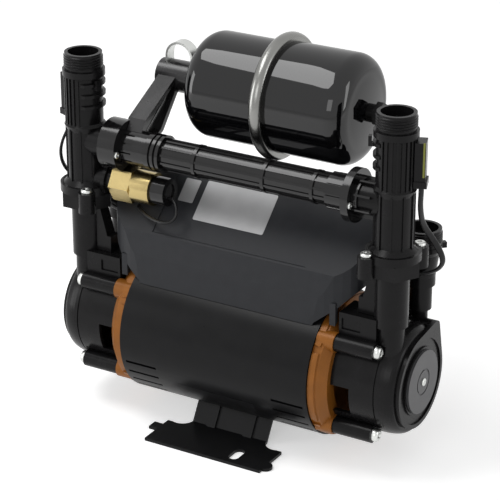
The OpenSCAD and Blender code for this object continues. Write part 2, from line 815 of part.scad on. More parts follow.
// ---- pump bodies ----
module hex_flange(t) { cylinder(r = flange_r, h = t, $fn = 6); }
module pump_body() on_axis() difference() {
    union() {
        spin_x() rotate_extrude() polygon(concat(
            [[0, body_x], [head_r, body_x], [head_r, body_x + groove_in], [head_r - groove_t,
                body_x + groove_in],
            [head_r - groove_t, body_x + groove_in + groove_w]],
            arc_pts(nose_r, body_x + groove_in + groove_w, head_r - nose_r,
                nose_x - body_x - groove_in - groove_w,
                0, 90, corner_steps), [[0, nose_x]]));
        ties() bar_x(body_x, body_x + boss_out, tie_boss_r);
        at_port() {
            cylinder(r = pipe_low_r, h = pipe_step_h);
            translate([0, 0, pipe_step_h]) cylinder(r = pipe_r, h = seat_h - flange_t - pipe_step_h);
            translate([0, 0, seat_h - flange_t]) {
                hex_flange(flange_t);
                col_screw_places() cylinder(r = col_ear_r, h = flange_t);
            }
        }
        box_at(box_half + gap, port_x, -wall_y0, -wall_y1, wall_low, wall_up);
        translate([0, -wall_y1, 0]) rotate([90, 0, 0]) linear_extrude(wall_y0 - wall_y1) polygon([
            [port_x - gusset_low, wall_up - over], [port_x, wall_up - over], [port_x,
                seat_h - flange_t + over],
            [port_x - gusset_high, seat_h - flange_t + over], [port_x - gusset_high, seat_h - flange_t]]);
        box_at(body_x, body_x + boss_out - over, -box_y, -box_in_y, lobe_h, box_up);
        translate([port_x, inlet_y, lobe_h - suction_low_r]) cylinder(r = suction_low_r,
            h = suction_step_h - lobe_h + suction_low_r);
        translate([port_x, inlet_y, suction_step_h]) cylinder(r = suction_r,
            h = suction_top_h - suction_step_h);
        translate([0, lobe_y, lobe_h]) bar_x(body_x + boss_out, nose_x, lobe_r);
    }
    bar_x(body_x - over, nose_x + over, cavity_r);
    at_port() {
        cylinder(r = water_r, h = seat_h + over);
        translate([0, 0, seat_h]) rotate_extrude() translate([col_seal_r - col_seal_t - seal_gap,
            -2 * col_seal_t - seal_gap])
            square([2 * (col_seal_t + seal_gap), 2 * col_seal_t + seal_gap + over]);
        col_screw_places() translate([0, 0, seat_h - col_screw_in]) cylinder(r = pilot_r,
            h = col_screw_in + over);
    }
    ties() {
        bar_x(body_x - over, body_x + boss_out + over, screw_hole_r);
        bar_x(body_x + boss_out, body_x + boss_out + head_len + over, head_side_r + spot_gap);
    }
    translate([port_x, inlet_y, lobe_h + suction_bore_r]) cylinder(r = suction_bore_r, h = suction_top_h);
    translate([0, lobe_y, lobe_h]) bar_x(port_x - suction_bore_r, nose_x + over, lobe_bore_r);
}
module right_pump_body() color("#232427") pump_body();
module left_pump_body() color("#232427") flip() pump_body();
module body_seals() color("#111111") on_axis() both()
    translate([cap_back_x + plug_t / 3, 0, 0]) spin_x() rotate_extrude()
        translate([plug_r - body_seal_t - seal_gap, 0]) circle(r = body_seal_t, $fn = 24);

// ---- suction caps ----
module suction_cap() on_axis() difference() {
    union() {
        bar_x(cap_back_x, nose_x, plug_r);
        translate([nose_x, 0, 0]) rotate([90, 0, 90]) linear_extrude(cap_t) cap_outline();
    }
    translate([cap_back_x + plug_t / 3, 0, 0]) spin_x() rotate_extrude()
        translate([plug_r - 2 * (body_seal_t + seal_gap), -body_seal_t - seal_gap])
            square([3 * (body_seal_t + seal_gap), 2 * (body_seal_t + seal_gap)]);
    bar_x(cap_back_x - over, cap_x - channel_front, eye_r);
    translate([cap_x - channel_front - channel_t, 0, 0]) rotate([90, 0, 90]) linear_extrude(channel_t) {
        rotate(atan2(lobe_h, lobe_y)) translate([0, -channel_w / 2]) square([norm([lobe_y, lobe_h]),
            channel_w]);
        translate([lobe_y, lobe_h]) circle(r = lobe_bore_r);
    }
    translate([0, lobe_y, lobe_h]) bar_x(nose_x - over, cap_x - channel_front, lobe_bore_r);
    ring_x(cap_x - cap_groove_t, cap_x + over, cap_groove_r0, cap_groove_r1);
    bar_x(cap_x - channel_front - over, cap_x + over, disc_screw_r + fit);
}
module cap_outline() {
    d = norm([lobe_y, lobe_h]);
    a = atan2(lobe_h, lobe_y);
    b = acos((cap_r - lobe_r) / d);
    circle(r = cap_r);
    translate([lobe_y, lobe_h]) circle(r = lobe_r);
    polygon([[0, 0], cap_r * [cos(a + b), sin(a + b)], [lobe_y, lobe_h] + lobe_r * [cos(a + b), sin(a + b)],
        [lobe_y, lobe_h] + lobe_r * [cos(a - b), sin(a - b)], cap_r * [cos(a - b), sin(a - b)]]);
}
module right_suction_cap() color("#1c1d1f") suction_cap();
module left_suction_cap() color("#1c1d1f") flip() suction_cap();
module end_discs() color("#8f9194") on_axis() both() difference() {
    bar_x(cap_x, cap_x + disc_t, disc_r);
    ring_x(cap_x + disc_t - disc_ring_t, cap_x + disc_t + over, disc_ring_r - disc_ring_w, disc_ring_r);
    bar_x(cap_x - over, cap_x + disc_t + over, disc_screw_r + gap);
}
module end_disc_screws() color("silver") on_axis() both() {
    bar_x(cap_x - disc_screw_len, cap_x + disc_t + over / 2, disc_screw_r);
    bar_x(cap_x + disc_t, cap_x + disc_t + disc_head_t, disc_head_r);
}
module tie_screws() color("silver") on_axis() both() ties() {
    bar_x(adapter_x - tie_in + over, body_x + boss_out + over, screw_r);
    bar_x(body_x + boss_out, body_x + boss_out + head_len, head_side_r);
}

// ---- inlet ports ----
module inlet_port() on_axis() translate([port_x, inlet_y, 0]) difference() {
    union() {
        rotate_extrude() polygon([[0, suction_top_h - suction_sleeve], [suction_r + head_wall - over,
            suction_top_h - suction_sleeve],
            [suction_r + head_wall - over, suction_top_h + over], [thread_r - over,
                inlet_h - thread_len - 2 * head_wall],
            [thread_r + over / 2, inlet_h - thread_len - head_wall], [thread_r + over / 2,
                inlet_h - thread_len],
            [thread_r, inlet_h - thread_len], [thread_r, inlet_h], [0, inlet_h]]);
        rotate(lug_a) translate([thread_r - 2 * over, -hook_w / 2, inlet_h - thread_len - gap - hook_w])
            cube([hook_w + 2 * over, hook_w, hook_w]);
    }
    translate([0, 0, suction_top_h]) cylinder(r = low_bore_r, h = inlet_h);
    translate([0, 0, inlet_h - rim_bore_h]) cylinder(r = rim_bore_r, h = rim_bore_h + over);
    translate([0, 0, suction_top_h - suction_sleeve - over]) cylinder(r = suction_r + fit,
        h = suction_sleeve + over);
    translate([0, 0, suction_top_h - over]) cylinder(r = suction_bore_r + over, h = 2 * over);
}
module right_inlet_port() color("#1f2022") inlet_port();
module left_inlet_port() color("#1f2022") flip() inlet_port();

// ---- outlet columns ----
module vertical_ribs(n, z0, z1, a0, a1) {
    for (i = [0 : n - 1]) let (a = 360 * i / n) if (a >= a0 || a <= a1) rotate(a)
        box_at(column_r - over, column_r + rib_t, -rib_w / 2, rib_w / 2, z0, z1);
}
module outlet_column(with_switch) at_port() difference() {
    union() {
        translate([0, 0, seat_h]) cylinder(r = ring_wide, h = ring_t);
        translate([0, 0, seat_h]) col_screw_places() cylinder(r = col_ear_r, h = ear_t);
        rotate_extrude() polygon([[0, seat_h + ring_t], [flare_r, seat_h + ring_t], [column_r,
            seat_h + ring_t + flare_h],
            [column_r, flute_top - shoulder_h], [shoulder_r, flute_top], [column_r,
                flute_top + shoulder_h / 2],
            [column_r, barrel_top], [collar_r, barrel_top + over], [collar_r, collar_top], [thread_r,
                collar_top],
            [thread_r, rim_top], [0, rim_top]]);
        vertical_ribs(rib_count, flute_top + over / 4, barrel_top + over, 250, 110);
        vertical_ribs(flute_count, seat_h + ring_t + flare_h / 2, flute_top - over, 0, 360);
        intersection() {
            for (i = [0 : scallop_count - 1]) translate([0, 0,
                barrel_top - scallop_down - i * scallop_pitch])
                cylinder(r = column_r + 2 * rib_t, h = scallop_t);
            rotate(-5) box_at(-collar_r * 2, -column_r / 3, -column_r, column_r, flute_top, barrel_top);
        }
        rotate(200) {
            box_at(column_r - over, column_r + hook_out, -hook_w / 2, hook_w / 2, barrel_top - hook_h,
                barrel_top - hook_h + hook_t);
            box_at(column_r + hook_out - hook_t, column_r + hook_out, -hook_w / 2, hook_w / 2,
                barrel_top - hook_h, barrel_top);
        }
        translate([-stub_len, 0, seat_h + bridge_h]) bar_x(0, stub_len, stub_r);
        if (with_switch) translate([0, 0, seat_h + switch_h]) {
            bar_x(-switch_boss_len, 0, switch_boss_r);
            bar_x(-switch_flange_in - switch_flange_t, -switch_flange_in, switch_flange_r);
        }
    }
    translate([0, 0, seat_h - over]) cylinder(r = low_bore_r, h = rim_top);
    translate([0, 0, float_z]) cylinder(r = chamber_r, h = rim_top);
    translate([0, 0, rim_top - rim_bore_h]) cylinder(r = rim_bore_r, h = rim_bore_h + over);
    translate([0, 0, seat_h + bridge_h]) bar_x(-stub_len - over, -stub_len + spigot_len + seal_gap,
        stub_bore_r);
    translate([0, 0, seat_h + bridge_h]) bar_x(-stub_len - over, 0, tube_bore_r - over);
    if (with_switch) translate([0, 0, seat_h + switch_h]) {
        bar_x(-switch_boss_len - over, -switch_boss_len + switch_spigot_len + seal_gap,
            switch_bore_r + fit);
        bar_x(-switch_boss_len - over, 0, branch_r);
    }
    col_screw_places() {
        translate([0, 0, seat_h - over]) cylinder(r = screw_hole_r, h = ring_t + 2 * over);
        translate([0, 0, seat_h + ear_t]) cylinder(r = col_head_r + gap, h = 2 * col_head_t + flare_h);
    }
}
module right_outlet_column() color("#202124") on_axis() outlet_column(false);
module left_outlet_column() color("#202124") on_axis() flip() outlet_column(true);
module column_seals() color("#111111") on_axis() both() at_port() translate([0, 0,
    seat_h - col_seal_t - seal_gap])
    rotate_extrude() translate([col_seal_r, 0]) circle(r = col_seal_t, $fn = 24);
module column_screws() color("silver") on_axis() both() at_port() col_screw_places() {
    translate([0, 0, seat_h - col_screw_in + over]) cylinder(r = screw_r, h = col_screw_in + ear_t);
    translate([0, 0, seat_h + ear_t]) cylinder(r = col_head_r, h = col_head_t);
}
module flow_float() at_port() translate([0, 0, float_z]) {
    cylinder(r = float_core_r, h = float_len);
    cylinder(r = float_r, h = 2 * over);
    for (i = [0 : fin_count - 1]) rotate(360 * i / fin_count) intersection() {
        box_at(0, float_r, -fin_w / 2, fin_w / 2, 0, float_len);
        cylinder(r = float_r, h = float_len);
    }
}
module right_flow_float() color("#e8e8e4") on_axis() flow_float();
module left_flow_float() color("#e8e8e4") on_axis() flip() flow_float();
module float_stops() color("#d8d8d4") on_axis() both() at_port() translate([0, 0, chamber_top + gap]) {
    difference() {
        cylinder(r = chamber_r - fit, h = stop_t);
        translate([0, 0, -over]) cylinder(r = chamber_r - fit - stop_w, h = stop_t + 2 * over);
    }
    for (a = [0, 90]) rotate(a) box_at(-chamber_r + stop_w, chamber_r - stop_w, -stop_bar / 2,
        stop_bar / 2, 0, stop_t);
}
module flow_sensor() at_port() rotate(sensor_a) translate([0, 0, flute_top + sensor_up]) difference() {
    union() {
        box_at(column_r / 2, column_r + sensor_out, -sensor_w / 2, sensor_w / 2, 0, sensor_h);
        box_at(column_r / 2, column_r + sensor_out + sensor_step, -sensor_w / 2 - sensor_step / 2,
            sensor_w / 2 + sensor_step / 2, 0, sensor_foot_h);
    }
    translate([0, 0, -over]) cylinder(r = column_r + rib_t + seal_gap, h = sensor_h + 2 * over);
}
module right_flow_sensor() color("#2a2b2d") on_axis() flow_sensor();
module left_flow_sensor() color("#2a2b2d") on_axis() flip() flow_sensor();
module right_sensor_lead() color("#1a1a1a") swept_tube(
    moved(right_route, [port_move, 0, seat_rise], [box_move, 0, rise]), lead_r, lead_sides);
module left_sensor_lead() color("#1a1a1a") swept_tube(
    moved(left_route, [-port_move, 0, seat_rise], [-box_move, 0, rise]), lead_r, lead_sides);

// ---- bridge ----
tee_x = port_x - stub_len;
tee_in = tee_x - tee_ring_w - tee_barrel_w;
socket_in = tee_x - socket_ring_in - socket_ring_w - sleeve_w;
module bridge_tee() color("#1d1e20") on_axis() at_bridge() difference() {
    union() {
        bar_x(-tee_x - spigot_len, -tee_x, stub_bore_r - fit);
        bar_x(-tee_x, -tee_x + tee_ring_w, ring_r);
        bar_x(-tee_x, -tee_in, tee_barrel_r);
    }
    bar_x(-tee_x - spigot_len - over, -tee_in + over, tube_bore_r - over);
    for (i = [0 : tee_slot_count - 1]) rotate([360 * i / tee_slot_count, 0, 0])
        box_at(-tee_x + tee_ring_w + over, -tee_x + tee_ring_w + over + tee_slot_len,
            tee_barrel_r - tee_slot_t,
            tee_barrel_r + over, -tee_slot_w / 2, tee_slot_w / 2);
    translate([-tee_x - spigot_len / 2, 0, 0]) seal_groove();
    translate([0, 0, switch_h - bridge_h]) bar_x(-switch_x - gap, -tee_in, hex_r + gap);
    rotate([disc_screw_a - 180, 0, 0]) translate([0, -disc_screw_d, 0])
        bar_x(-tee_x + tee_ring_w - bscrew_len, -tee_x + tee_ring_w + over, bscrew_r + fit);
    translate([-arm_x, 0, 0]) rotate([-atan2(tank_y + outlet_y, tank_up), 0, 0]) cylinder(r = branch_r,
        h = ring_r * 2);
}
module seal_groove() {
    spin_x() rotate_extrude() translate([seal_floor_r, -seal_minor - seal_gap])
        square([stub_bore_r, 2 * (seal_minor + seal_gap)]);
}
module bridge_seals() color("#111111") on_axis() at_bridge() both()
    translate([tee_x + spigot_len / 2, 0, 0]) spin_x() rotate_extrude()
        translate([seal_major, 0]) circle(r = seal_minor, $fn = 24);
module collar_nut() color("#1b1c1e") on_axis() at_bridge() difference() {
    bar_x(-tee_in, -tee_in + nut_w, nut_r);
    bar_x(-tee_in - over, -tee_in + nut_w + over, tube_r + fit);
    for (i = [1, 2]) ring_x(-tee_in + nut_w * i / 3, -tee_in + nut_w * i / 3 + nut_groove_w,
        nut_r - nut_groove_t, nut_r + over);
}
module bridge_tube() color("#26272a") on_axis() at_bridge() difference() {
    union() {
        bar_x(-tee_in, socket_in + sleeve_lap, tube_r);
        for (i = [0 : spline_count - 1]) rotate([360 * (i + 0.5) / spline_count, 0, 0])
            box_at(-tee_in + nut_w + gap, socket_in - gap, tube_r - over, tube_r + spline_t,
                -spline_w / 2, spline_w / 2);
        for (h = hoop_shares) let (x = -tee_in + nut_w + h * (socket_in + tee_in - nut_w)) bar_x(x,
            x + hoop_w, tube_r + hoop_t);
    }
    bar_x(-tee_in - over, socket_in + sleeve_lap + over, tube_bore_r);
}
module bridge_socket() color("#1d1e20") on_axis() at_bridge() difference() {
    union() {
        bar_x(socket_in, tee_x - socket_ring_in, sleeve_r);
        bar_x(tee_x - socket_ring_in - socket_ring_w, tee_x - socket_ring_in, ring_r);
        bar_x(tee_x - socket_ring_in, tee_x, socket_r);
        bar_x(tee_x, tee_x + spigot_len, stub_bore_r - fit);
        for (i = [0 : 7]) rotate([45 * i, 0, 0])
            box_at(socket_in + over, tee_x - socket_ring_in, sleeve_r - over, sleeve_r + over,
                -spline_w / 2, spline_w / 2);
    }
    bar_x(socket_in - over, socket_in + sleeve_lap, tube_r + fit);
    bar_x(socket_in, tee_x - blind_t, tube_bore_r);
    translate([tee_x + spigot_len / 2, 0, 0]) seal_groove();
    rotate([disc_screw_a - 180, 0, 0]) translate([0, -disc_screw_d, 0])
        bar_x(tee_x - socket_ring_in - bscrew_len, tee_x - socket_ring_in + over, bscrew_r + fit);
}
module bridge_screws() color("silver") on_axis() at_bridge() rotate([disc_screw_a - 180, 0, 0])
    translate([0, -disc_screw_d, 0]) for (x = [-tee_x + tee_ring_w, tee_x - socket_ring_in]) {
        bar_x(x - bscrew_len + over, x + over, bscrew_r);
        bar_x(x, x + bscrew_head_t, bscrew_head_r);
    }

// ---- pressure switch ----
switch_x = port_x - switch_boss_len;
module pressure_switch() color("#d3a948") on_axis() translate([0, -outlet_y,
    seat_h + switch_h]) difference() {
    union() {
        translate([-switch_x, 0, 0]) rotate([0, 90, 0]) rotate(30) cylinder(r = hex_r, h = hex_w, $fn = 6);
        bar_x(-switch_x + hex_w, -switch_x + hex_w + switch_round_w, switch_round_r);
        bar_x(-switch_x - switch_spigot_len, -switch_x + over, switch_bore_r);
    }
    bar_x(-switch_x - switch_spigot_len - over, -switch_x + hex_w, branch_r);
}
module switch_cap() color("#1b1b1d") on_axis() translate([0, -outlet_y, seat_h + switch_h])
    let (x = -switch_x + hex_w + switch_round_w) difference() {
        bar_x(x, x + switch_cap_w, switch_cap_r);
        bar_x(x + switch_cap_w - over, x + switch_cap_w + over, switch_cap_bore_r);
    }
module switch_lead() color("#141414") swept_tube(
    moved(switch_route, [-port_move, 0, seat_rise], [0, 0, rise]), switch_lead_r, lead_sides);

// ---- arm ----
module arm_side() {
    polygon([[-outlet_y - tee_barrel_r / 2, tee_barrel_r / 2], [arm_front_y - outlet_y, arm_front_up],
        [tank_y - arm_top_y, tank_up + arm_top_up], [tank_y, tank_up], [tank_y - arm_rear_y,
            tank_up - arm_rear_up],
        [arm_low_y - outlet_y, arm_low_up], [-outlet_y, -tee_barrel_r / 2]]);
}
module tank_arm() color("#26272a") on_axis() translate([0, 0, seat_h + bridge_h]) difference() {
    union() {
        translate([-arm_x - arm_web / 2, 0, 0]) rotate([90, 0, 90]) linear_extrude(arm_web) arm_side();
        translate([-arm_x - arm_w / 2, 0, 0]) rotate([90, 0, 90]) linear_extrude(arm_w) intersection() {
            arm_side();
            difference() {
                translate([-cover_r, -cover_r]) square([4 * cover_r, 4 * cover_r]);
                translate([arm_flange_t / 2, -arm_flange_t]) arm_side();
            }
        }
        translate([-arm_x - arm_w / 2, 0, 0]) rotate([90, 0, 90]) linear_extrude(arm_w) intersection() {
            arm_side();
            difference() {
                translate([-cover_r, -cover_r]) square([4 * cover_r, 4 * cover_r]);
                translate([-arm_flange_t, arm_flange_t / 2]) arm_side();
            }
        }
        translate([0, tank_y, tank_up]) bar_x(-arm_x - arm_boss_out, tank_left_x - gap, arm_boss_r);
    }
    translate([0, -outlet_y, 0]) bar_x(-tee_x, 0, tee_barrel_r + fit);
    translate([0, -outlet_y, 0]) bar_x(-tee_x - over, -tee_x + tee_ring_w + gap, ring_r + gap);
    translate([0, tank_y, tank_up]) bar_x(tank_x - tank_half - nozzle_len, tank_x - tank_half + over,
        nozzle_r + fit);
    translate([-arm_x, -outlet_y, 0]) rotate([-atan2(tank_y + outlet_y, tank_up), 0, 0])
        cylinder(r = branch_r, h = norm([tank_y + outlet_y, tank_up]));
    translate([0, tank_y, tank_up]) bar_x(-arm_x, tank_x - tank_half, nozzle_bore_r);
    clip_legs(gap);
}
module clip_legs(g) {
    for (s = [-1, 1]) translate([tank_x - tank_half - clip_in - clip_w / 2
        + s * (clip_w / 2 - clip_strip / 2), tank_y, tank_up + arm_boss_r])
        box_at(-clip_strip / 2 - g, clip_strip / 2 + g, -clip_d / 2 - g, clip_d / 2 + g, -clip_leg - g,
            clip_leg);
}
module tank_clip() color("#b9b3a4") on_axis() translate([0, 0, seat_h + bridge_h]) {
    clip_legs(0);
    translate([tank_x - tank_half - clip_in - clip_w / 2, tank_y, tank_up + arm_boss_r + clip_leg - over]) {
        difference() {
            translate([0, clip_d / 2, 0]) rotate([90, 0, 0]) linear_extrude(clip_d) clip_arch(0);
            translate([0, clip_d, 0]) rotate([90, 0, 0]) linear_extrude(2 * clip_d) clip_arch(clip_strip);
        }
    }
}
module clip_arch(t) {
    r = clip_h - clip_leg - t;
    intersection() {
        scale([(clip_w / 2 - t) / r, 1]) circle(r = r);
        translate([-clip_w, 0]) square([2 * clip_w, clip_h]);
    }
}

// ---- pressure vessel ----
function shell_profile(r, half, t) = concat([[0, 0]], [[r - t, 0]],
    arc_pts(r - tank_end_r, half - tank_end_r, tank_end_r - t, tank_end_r - t, 0, 90, corner_steps), [[0,
        half - t + crown]]);
module shell(r) {
    difference() {
        rotate_extrude() polygon(shell_profile(r, tank_half, 0));
        translate([0, 0, -over]) rotate_extrude() polygon(concat([[0, 0]], [[r - tank_wall, 0]],
            [for (p = shell_profile(r, tank_half, tank_wall)) if (p[1] > 0) [p[0], p[1] + over]]));
    }
    rotate_extrude() translate([r - tank_wall, 0])
        square([tank_ring_r - ring_roll - r + tank_wall, tank_wall]);
}
module tank_right_shell() color("#0c0c0e") on_axis() at_tank() translate([diaphragm_t / 2, 0,
    0]) spin_x() difference() {
    shell(tank_r);
    translate([0, 0, tank_half / 2]) cylinder(r = fitting_stem + fit, h = tank_half);
}
module tank_left_shell() color("#0c0c0e") on_axis() at_tank() translate([-diaphragm_t / 2, 0, 0]) {
    difference() {
        mirror([1, 0, 0]) spin_x() shell(left_shell_r);
        bar_x(-2 * tank_half, -tank_half / 2, nozzle_bore_r);
    }
    difference() {
        bar_x(-tank_half - nozzle_len + over, -tank_half - crown + tank_wall, nozzle_r);
        bar_x(-2 * tank_half, 0, nozzle_bore_r);
    }
}
module tank_ring() color("#c3c5c8") on_axis() at_tank() spin_x() rotate_extrude() difference() {
    union() {
        translate([tank_ring_r - ring_roll * 2, -tank_ring_w / 2]) square([ring_roll, tank_ring_w]);
        translate([tank_ring_r - ring_roll, 0]) scale([1,
            tank_ring_w / (2 * ring_roll)]) circle(r = ring_roll, $fn = 32);
    }
    translate([0, -tank_wall - diaphragm_t / 2 - fit]) square([tank_ring_r - ring_roll + fit,
        2 * tank_wall + diaphragm_t + 2 * fit]);
    square([2 * (tank_r + fit), tank_half], center = true);
}
module tank_diaphragm() color("#2e2e30") on_axis() at_tank() bar_x(-diaphragm_t / 2, diaphragm_t / 2,
    tank_ring_r - ring_roll - fit);
module tank_fitting() color("#2a2a2c") on_axis() at_tank() translate([tank_half + diaphragm_t / 2
    + crown, 0, 0]) {
    bar_x(0, fitting_len, fitting_r);
    translate([fitting_len, 0, 0]) rotate([0, 90, 0]) cylinder(r = fitting_nut_r, h = fitting_nut_w,
        $fn = 6);
    bar_x(-tank_wall - over, 0, fitting_stem);
}

// ---- terminal cover ----
function side_pts(i) = concat([[-box_front + i, box_low - 2 * over], [-box_front + over + i,
    box_low + crease_h / 4],
    [-crease_y + i, crease_h - i * crease_share]],
    arc_pts(slope_y + box_back_corner, slope_h - box_back_corner - i, box_back_corner, box_back_corner,
        133, 90, corner_steps / 2),
    [[box_rear - back_run_share * box_back_corner, box_top - i]],
    arc_pts(box_rear - box_back_corner - i, box_top - box_back_corner - i, box_back_corner,
        box_back_corner, 90, 0, corner_steps),
    [[box_rear - i, box_low - 2 * over]]);
function plan_pts(i) = concat([[-box_flat, -box_front + i]], [[box_flat, -box_front + i]],
    arc_pts(box_flat, -box_corner_y, box_half - box_flat - i, box_front - box_corner_y - i, -90, 0,
        corner_steps),
    arc_pts(box_half - box_back_corner - i, box_rear - box_back_corner - i, box_back_corner,
        box_back_corner, 0, 90, corner_steps),
    arc_pts(-box_half + box_back_corner + i, box_rear - box_back_corner - i, box_back_corner,
        box_back_corner, 90, 180, corner_steps),
    arc_pts(-box_flat, -box_corner_y, box_half - box_flat - i, box_front - box_corner_y - i, 180, 270,
        corner_steps));
function front_pts(i) = [[-wing_x1, box_low - 3 * over], [wing_x1, box_low - 3 * over], [wing_x1 + over,
    box_low],
    [wing_x2, wing_h2], [wing_x3 - i, wing_h3], [wing_x3 - i, box_top + over], [-wing_x3 + i,
        box_top + over],
    [-wing_x3 + i, wing_h3], [-wing_x2, wing_h2], [-wing_x1 - over, box_low]];
module cover_solid(i) {
    intersection() {
        rotate([90, 0, 90]) linear_extrude(2 * box_half + 2 * over, center = true) polygon(side_pts(i));
        linear_extrude(box_top + over) polygon(plan_pts(i));
        rotate([90, 0, 0]) linear_extrude(4 * box_rear, center = true) polygon(front_pts(i));
    }
}
module terminal_cover() color("#46484b") on_axis() difference() {
    union() {
        cover_solid(0);
        both() for (s = [-1, 1]) box_at(shield_x + leg_gap, shield_x + leg_gap + leg_w,
            s > 0 ? box_rear - leg_t : -leg_y, s > 0 ? box_rear : leg_t - leg_y, leg_low, wing_h2 + leg_t);
    }
    difference() {
        cover_solid(box_wall);
        both() for (s = [-1, 1]) box_at(shield_x + leg_gap, shield_x + leg_gap + leg_w,
            s > 0 ? box_rear - leg_t : -leg_y, s > 0 ? box_rear + over : leg_t - leg_y, leg_low,
                wing_h2 + leg_t);
    }
    bar_x(-2 * box_half, 2 * box_half, cover_r + gap);
    difference() {
        box_at(-panel_half, panel_half, -box_front, slope_y + box_back_corner, crease_h + over, box_top);
        cover_solid(panel_t);
    }
}
module circuit_board() color("#2f5d3a") on_axis() translate([0, 0, board_h])
    box_at(-board_l / 2, board_l / 2, -board_d / 2, board_d / 2, 0, board_t);
module capacitor() color("#7d8288") on_axis() translate([0, 0, board_h + board_t + cap_can_r])
    bar_x(-cap_can_len / 2, cap_can_len / 2, cap_can_r);

foot_bracket();
foot_screws();
motor_cover();
stator_core();
stator_winding();
rotor_core();
motor_shaft();
cooling_fan();
ball_bearings();
left_end_shield();
right_end_shield();
left_adapter();
right_adapter();
shaft_seals();
left_impeller();
right_impeller();
left_pump_body();
right_pump_body();
body_seals();
left_suction_cap();
right_suction_cap();
end_discs();
end_disc_screws();
tie_screws();
left_inlet_port();
right_inlet_port();
left_outlet_column();
right_outlet_column();
column_seals();
column_screws();
left_flow_float();
right_flow_float();
float_stops();
left_flow_sensor();
right_flow_sensor();
left_sensor_lead();
right_sensor_lead();
bridge_tube();
bridge_tee();
collar_nut();
bridge_socket();
bridge_seals();
bridge_screws();
pressure_switch();
switch_cap();
switch_lead();
tank_arm();
tank_clip();
tank_left_shell();
tank_right_shell();
tank_ring();
tank_diaphragm();
tank_fitting();
terminal_cover();
circuit_board();
capacitor();
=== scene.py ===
"""Looks for a shower booster pump, laid out as an add-on around its fixed CAD frame."""

import math

import bmesh
import bpy
from mathutils import Matrix, Vector


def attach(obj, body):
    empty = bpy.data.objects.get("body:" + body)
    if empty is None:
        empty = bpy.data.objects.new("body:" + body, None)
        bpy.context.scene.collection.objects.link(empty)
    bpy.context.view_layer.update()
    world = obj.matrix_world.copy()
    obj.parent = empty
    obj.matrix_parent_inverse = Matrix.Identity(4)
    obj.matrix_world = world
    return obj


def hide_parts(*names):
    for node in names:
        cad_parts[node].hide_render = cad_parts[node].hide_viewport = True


bl_info = {
    "name": "Shower Pump Looks",
    "version": (1, 0, 0),
    "blender": (4, 5, 0),
    "location": "View3D > Sidebar > Pump",
    "description": "Materials, threads, screw heads, leads and stage for a shower booster pump",
    "category": "Object",
}

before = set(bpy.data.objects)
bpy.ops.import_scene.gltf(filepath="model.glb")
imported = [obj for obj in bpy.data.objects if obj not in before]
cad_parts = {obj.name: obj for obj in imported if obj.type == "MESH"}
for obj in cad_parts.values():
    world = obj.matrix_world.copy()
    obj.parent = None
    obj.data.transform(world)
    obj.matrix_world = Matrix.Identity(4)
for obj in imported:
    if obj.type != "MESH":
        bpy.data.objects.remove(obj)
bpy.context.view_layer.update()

MM = 0.001

# Where the frame has its shaft, the middles and rims of its ports, and the middle of its bridge tube
AXIS_H = 65 * MM
PORT_X = 121.5 * MM
OUTLET_Y = -19 * MM
INLET_Y = 25 * MM
OUTLET_RIM_H = 263.5 * MM
INLET_RIM_H = 167 * MM
BRIDGE_H = 200 * MM


# Settings

class PumpSizes(bpy.types.PropertyGroup):
    """Sizes of the pieces that dress the frame."""

    thread_pitch: bpy.props.FloatProperty(
        name="Thread pitch", description="Distance from crest to crest of the port threads",
        default=1.814 * MM, min=1 * MM, max=3 * MM, unit="LENGTH", precision=5)
    thread_depth: bpy.props.FloatProperty(
        name="Thread ridge", description="Height of the thread ridges that show",
        default=0.62 * MM, min=0.2 * MM, max=1.2 * MM, unit="LENGTH", precision=5)
    lead_width: bpy.props.FloatProperty(
        name="Lead width", description="Width of the right sensor's lead, which the left one follows",
        default=4.4 * MM, min=2 * MM, max=6 * MM, unit="LENGTH", precision=5)
    lead_thick: bpy.props.FloatProperty(
        name="Lead thickness", description="Thickness of the flat sensor leads",
        default=2.4 * MM, min=1 * MM, max=4 * MM, unit="LENGTH", precision=5)
    label_thick: bpy.props.FloatProperty(
        name="Label thickness", description="Thickness of the blank labels and the sensor's strip",
        default=0.15 * MM, min=0.05 * MM, max=0.5 * MM, unit="LENGTH", precision=5)


class PumpColours(bpy.types.PropertyGroup):
    """Colours of the main finishes."""

    tank: bpy.props.FloatVectorProperty(
        name="Vessel", description="Gloss black of the pressure vessel",
        subtype="COLOR", size=3, min=0, max=1, default=(0.0025, 0.0025, 0.003))
    plastic: bpy.props.FloatVectorProperty(
        name="Moulded plastic", description="Black of the moulded plumbing parts",
        subtype="COLOR", size=3, min=0, max=1, default=(0.0065, 0.0062, 0.0066))
    cover: bpy.props.FloatVectorProperty(
        name="Terminal cover", description="Charcoal of the terminal cover",
        subtype="COLOR", size=3, min=0, max=1, default=(0.027, 0.028, 0.031))
    shield: bpy.props.FloatVectorProperty(
        name="End shields", description="Orange of the coated end shields",
        subtype="COLOR", size=3, min=0, max=1, default=(0.25, 0.088, 0.012))
    brass: bpy.props.FloatVectorProperty(
        name="Brass", description="Colour of the brass pressure switch",
        subtype="COLOR", size=3, min=0, max=1, default=(0.44, 0.345, 0.155))
    steel: bpy.props.FloatVectorProperty(
        name="Steel ring", description="Colour of the satin steel ring",
        subtype="COLOR", size=3, min=0, max=1, default=(0.24, 0.24, 0.23))


